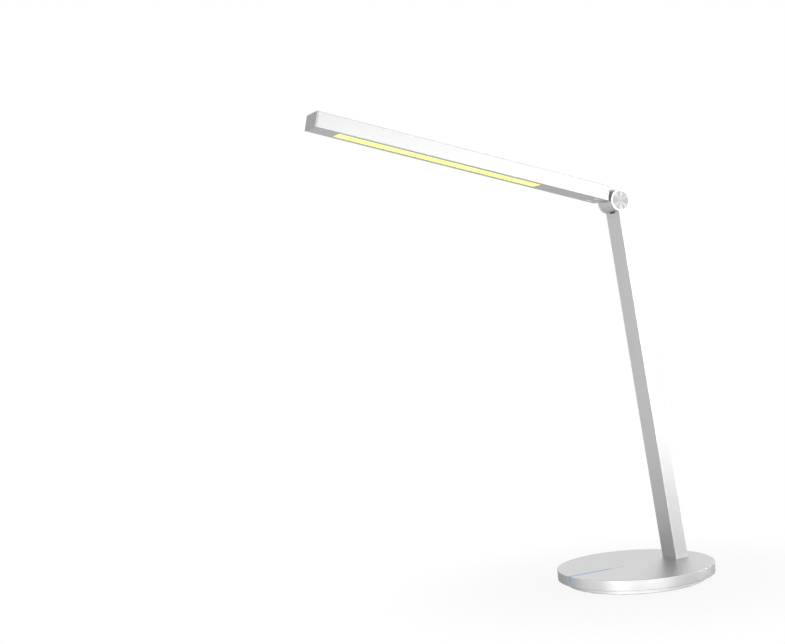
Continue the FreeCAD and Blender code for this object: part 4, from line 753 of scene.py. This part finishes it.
# %% Spun discs
GROOVE_DEPTH, GROOVE_STEP = 0.012, 0.33
SPIGOT_RADIUS, SPIGOT_INNER, FACE_OUT, RING_OUT, RING_INNER = 9.35, 11.7, 12.8, 13.0, 10.2
groove = np.linspace(SPUN_RADIUS, 0, 200)
face = np.stack([groove, FACE_OUT + GROOVE_DEPTH * np.sin(groove * 2 * np.pi / GROOVE_STEP)], 1)
disc_rim = rounded(
    [(SPIGOT_RADIUS, SPIGOT_INNER), (SPIGOT_RADIUS, MAST_HALF), (KNUCKLE, MAST_HALF), (KNUCKLE, RING_OUT),
     (RING_INNER, RING_OUT), (RING_INNER, FACE_OUT)],
    [0.1, 0, 0.1, 0.12, 0.08, 0])
disc = np.concatenate([[(0, SPIGOT_INNER)], disc_rim, face])
for name, way in (("right", 1), ("left", -1)):
    add_piece(f"disc_{name}", "stand", [lathe(disc * (1, way), "x", turns=160)], "spun_aluminium",
              [f"hinge_disc_{name}"], on_mast)

# %% [markdown]
# The barrel turns between the ears and goes over into a neck that carries the head's rear plate. The
# plate has the head's outline and a rear face that is raked a little, nearer the hinge at the bottom.
# A thin lip round each end of the barrel hides the friction washer beside it.

# %% Barrel, neck and rear plate
HEAD_HALF, HEAD_BOTTOM, HEAD_TOP, HEAD_WALL = 14.0, -4.0, 12.0, 1.3
HEAD_BOX = (-HEAD_HALF, HEAD_HALF, HEAD_BOTTOM, HEAD_TOP)
PLATE_END, PLATE_REAR, RAKE, TONGUE = -20.5, -17.5, 1.4, 30.0
BARREL_HALF, NECK_DROP, LIP_RADIUS, LIP_INNER, LIP_START, LIP_END = 4.6, 2.0, 11.95, 10.8, 4.5, 4.88
barrel_side = np.concatenate([arc(KNUCKLE, np.pi + np.arcsin(NECK_DROP / KNUCKLE), 2.5 * np.pi),
                              [(PLATE_END + 0.5, HEAD_TOP), (PLATE_END + 0.5, -NECK_DROP)]])
barrel = prism(barrel_side, -BARREL_HALF, BARREL_HALF, "x", 0.06)
head_outline = inner_box(HEAD_BOX, 0, 0.5)
plate_points, plate_faces = prism(head_outline, 0, 1, "y")
plate_rear = PLATE_REAR + RAKE * (HEAD_TOP - plate_points[:, 2]) / (HEAD_TOP - HEAD_BOTTOM)
plate_points[:, 1] = PLATE_END + (plate_rear - PLATE_END) * plate_points[:, 1]
tongue_outline = inner_box(HEAD_BOX, HEAD_WALL + 0.1, 0.2)
tongue = prism(tongue_outline, PLATE_END - TONGUE, PLATE_END, "y")
lip = [(LIP_INNER, LIP_START), (LIP_RADIUS, LIP_START), (LIP_RADIUS, LIP_END), (LIP_INNER, LIP_END)]
lips = [lathe(np.multiply(lip, (1, way)), "x", closed=True) for way in (1, -1)]
add_piece("hinge_barrel", "lamp_head", [barrel], "cast_silver", ["hinge_neck"], on_head,
          inside=[(plate_points, plate_faces), tongue, *lips], crease=25.0)

# %% [markdown]
# The head's housing is an extruded tube with a long window milled in its underside and two
# countersunk holes near the hinge.

# %% Head housing
HEAD_END, CAP_LENGTH, CAP_SEAM, PLATE_SEAM = -362.0, 2.0, 0.02, 0.04
shell = sleeve(head_outline, inner_box(HEAD_BOX, HEAD_WALL, 0.3), HEAD_END + CAP_LENGTH + CAP_SEAM,
               PLATE_END - PLATE_SEAM)
WINDOW_BOX = (-WINDOW_HALF, WINDOW_HALF, WINDOW_END, WINDOW_START)
window = prism(inner_box(WINDOW_BOX, 0, 0), -6, -2, "z")
SCREW_REACH, SCREW_SIDE = -27.0, 7.0
neck_screw_places = [(-SCREW_SIDE, SCREW_REACH), (SCREW_SIDE, SCREW_REACH)]
sink_profile = [(0, -5), (3.0, -5), (3.0, HEAD_BOTTOM), (1.75, -2.85), (1.75, -2), (0, -2)]
add_piece("head_shell", "lamp_head", [shell], "satin_silver", ["head_housing"], on_head,
          cutters=[window, *lathes(sink_profile, neck_screw_places, 40)])

# %% [markdown]
# The cap of the free end carries on the housing's outline, with a fine seam between them.

# %% End cap
CAP_INNER, CAP_PLUG = 3.0, 8.0
cap_rear = HEAD_END + CAP_LENGTH
end_plate = prism(head_outline, HEAD_END, cap_rear, "y", 0.2)
end_plug = sleeve(tongue_outline, inner_box(HEAD_BOX, CAP_INNER, 0.2), cap_rear, cap_rear + CAP_PLUG)
add_piece("end_cap", "lamp_head", [end_plate, end_plug], "silver_plastic", ["head_end_cap"], on_head)

# %% [markdown]
# The diffuser's nose fills the window, a fifth of a millimetre back from the metal, and its flange
# lies on the window's edges from inside.

# %% Diffuser
STRIP_ROOM, STRIP_RECESS, FLANGE_REACH, FLANGE_HEIGHT = 0.12, 0.2, 2.2, 1.0
wall_top = HEAD_BOTTOM + HEAD_WALL
strip = prism(inner_box(WINDOW_BOX, STRIP_ROOM, 0.3), HEAD_BOTTOM + STRIP_RECESS, wall_top, "z", 0.12, 3)
flange = prism(inner_box(WINDOW_BOX, -FLANGE_REACH, 0.3), wall_top, wall_top + FLANGE_HEIGHT, "z")
add_piece("light_strip", "lamp_head", [strip, flange], "opal", ["diffuser"], on_head)

# %% [markdown]
# Two countersunk screws hold the housing on the tongue. Each has a hexagonal key hole.

# %% Head screws
KEY_RADIUS = 1.15
sunk_profile = rounded(
    [(0, HEAD_BOTTOM), (2.75, HEAD_BOTTOM), (1.5, HEAD_BOTTOM + 1.25), (1.5, 4), (0, 4)],
    [0, 0.1, 0.1, 0.3, 0])
corner = np.arange(6) * np.pi / 3
hexagon = KEY_RADIUS * np.stack([np.cos(corner), np.sin(corner)], 1)
keys = [prism(hexagon + place, -5, -3, "z") for place in neck_screw_places]
add_piece("head_fixings", "lamp_head", lathes(sunk_profile, neck_screw_places, 48), "dark_steel",
          ["neck_screws"], on_head, cutters=keys)

# %% [markdown]
# What is inside keeps its CAD solid. Each node takes the finish of its own slot in the record.

# %% Finishes for the inner nodes
slots = {row["node"]: row["material_slot"] for row in frame["record"]["subparts"]}
for name, node in frame["nodes"].items():
    if not node.hide_render:
        node.data.materials.clear()
        node.data.materials.append(FINISHES[slots[name]].material)
        print(name, "is", slots[name])

# %% [markdown]
# The floor is pale and catches the lamp's shadow. For the camera, and for what is mirrored or seen
# through, it goes over into plain white further out. Metal mirrors the floor close to it, where little
# light reaches, so mirrored rays see it darker there. From below the floor is clear, so that the pads
# and the screws of the underside show.

# %% Floor


def picture_rays(nodes):
    """Two wires: 1 for rays from the camera or clear material, and 1 for mirrored rays."""
    names = ["Is Camera Ray", "Is Transmission Ray", "Is Glossy Ray"]
    camera_ray, clear_ray, mirrored = nodes.outputs("ShaderNodeLightPath", {}, names)
    return camera_ray.math("MAXIMUM", clear_ray), mirrored


FLOOR_REACH = 6.0
floor_mesh = bpy.data.meshes.new("floor")
floor_corners = np.array([(-1, -1, 0), (1, -1, 0), (1, 1, 0), (-1, 1, 0)]) * FLOOR_REACH
floor_mesh.from_pydata(floor_corners, [], [(0, 1, 2, 3)])
floor = new_object("floor", floor_mesh)
ground = Finish("floor", base_color=(0.85, 0.85, 0.85), roughness=0.9, specular_ior_level=0.0)
side, back = ground.axes()[:2]
far_off = (side * side + back * back).math("SQRT")
white = ground.node("ShaderNodeEmission", {}, {"Color": (1, 1, 1), "Strength": 1.0}, "Emission")
seen, mirrored = picture_rays(ground)
share = seen * (far_off.between(0.1, 0.3) * 0.1 + 0.9)
share = share + mirrored * (far_off.between(0.1, 0.7) * 0.6 + 0.4)
mixed = ground.node("ShaderNodeMixShader", {}, {0: share, 1: ground.surface, 2: white})
from_below = ground.outputs("ShaderNodeNewGeometry", {}, ["Backfacing"])[0]
clear = ground.node("ShaderNodeBsdfTransparent", {}, {})
one_sided = ground.node("ShaderNodeMixShader", {}, {0: from_below, 1: mixed, 2: clear})
ground.plug(ground.last.inputs["Surface"], one_sided)
floor_mesh.materials.append(ground.material)
print("floor is", 2 * FLOOR_REACH, "m wide")

# %% [markdown]
# The world behind the floor is white too for the rays that the picture shows. All other rays see a soft
# sky, brighter above than at the horizon, so the light from all round stays mild.

# %% World
world = bpy.data.worlds.new("studio")
bpy.context.scene.world = world
studio = Nodes(world)
direction = studio.node("ShaderNodeTexCoord", {}, {}, "Generated")
slope = studio.outputs("ShaderNodeSeparateXYZ", {"Vector": direction}, ["Z"])[0]
stops = [(0.0, (0.10, 0.10, 0.10)), (1.0, (0.45, 0.45, 0.45))]
tones = studio.node("ShaderNodeValToRGB", {"stops": stops}, {0: slope})
sky = studio.node("ShaderNodeBackground", {}, {"Color": tones})
backdrop = studio.node("ShaderNodeBackground", {}, {"Color": (1, 1, 1)})
either = studio.node("ShaderNodeMixShader", {}, {0: sum(picture_rays(studio)), 1: sky, 2: backdrop})
studio.node("ShaderNodeOutputWorld", {}, {"Surface": either}, None)
print("the sky goes from", stops[0][1][0], "to", stops[1][1][0])

# %% [markdown]
# Satin metal shows a blurred picture of what stands round it, so it is lit with broad softboxes. A row
# of flat ones just over the floor curves from the front round the right side to the back and lights
# the rim of the base. Two more on the right, one for the mast and one at the height of the head, make
# the faces that look that way nearly white, while the fronts keep the grey of the metal. The last one,
# high up at the back left, lifts the base's top. Each stands at an azimuth from X towards Y, and faces
# a point over the base.

# %% Lamps


def softbox(name, azimuth, height, distance, target_height, size, power):
    """A lamp of size (width, height) in metres that faces the axis of the base, with power in watts."""
    data = bpy.data.lights.new(name, "AREA")
    data.shape = "RECTANGLE"
    data.size, data.size_y = size
    data.energy = power
    angle = np.radians(azimuth)
    place = np.array([distance * np.cos(angle), distance * np.sin(angle), height])
    back = unit(place - (0, 0, target_height))
    side = unit(np.cross((0, 0, 1), back))
    aim(new_object(name, data), side, np.cross(back, side), back, place)


low_row = {-105: 3.6, -60: 9.0, -35: 3.0, -10: 5.8, 12: 2.6, 72: 5.5, 105: 3.0}
for azimuth, power in low_row.items():
    softbox(f"low_{azimuth}", azimuth, 0.075, 1.5, 0.07, (0.85, 0.13), power)
softbox("middle", 40, 0.30, 1.5, 0.28, (0.85, 0.25), 3.5)
softbox("high", 13, 0.60, 1.5, 0.58, (1.4, 0.45), 3.2)
softbox("back", 145, 0.92, 1.56, 0.02, (1.4, 0.8), 5.0)
print(len(bpy.data.lights), "lamps")
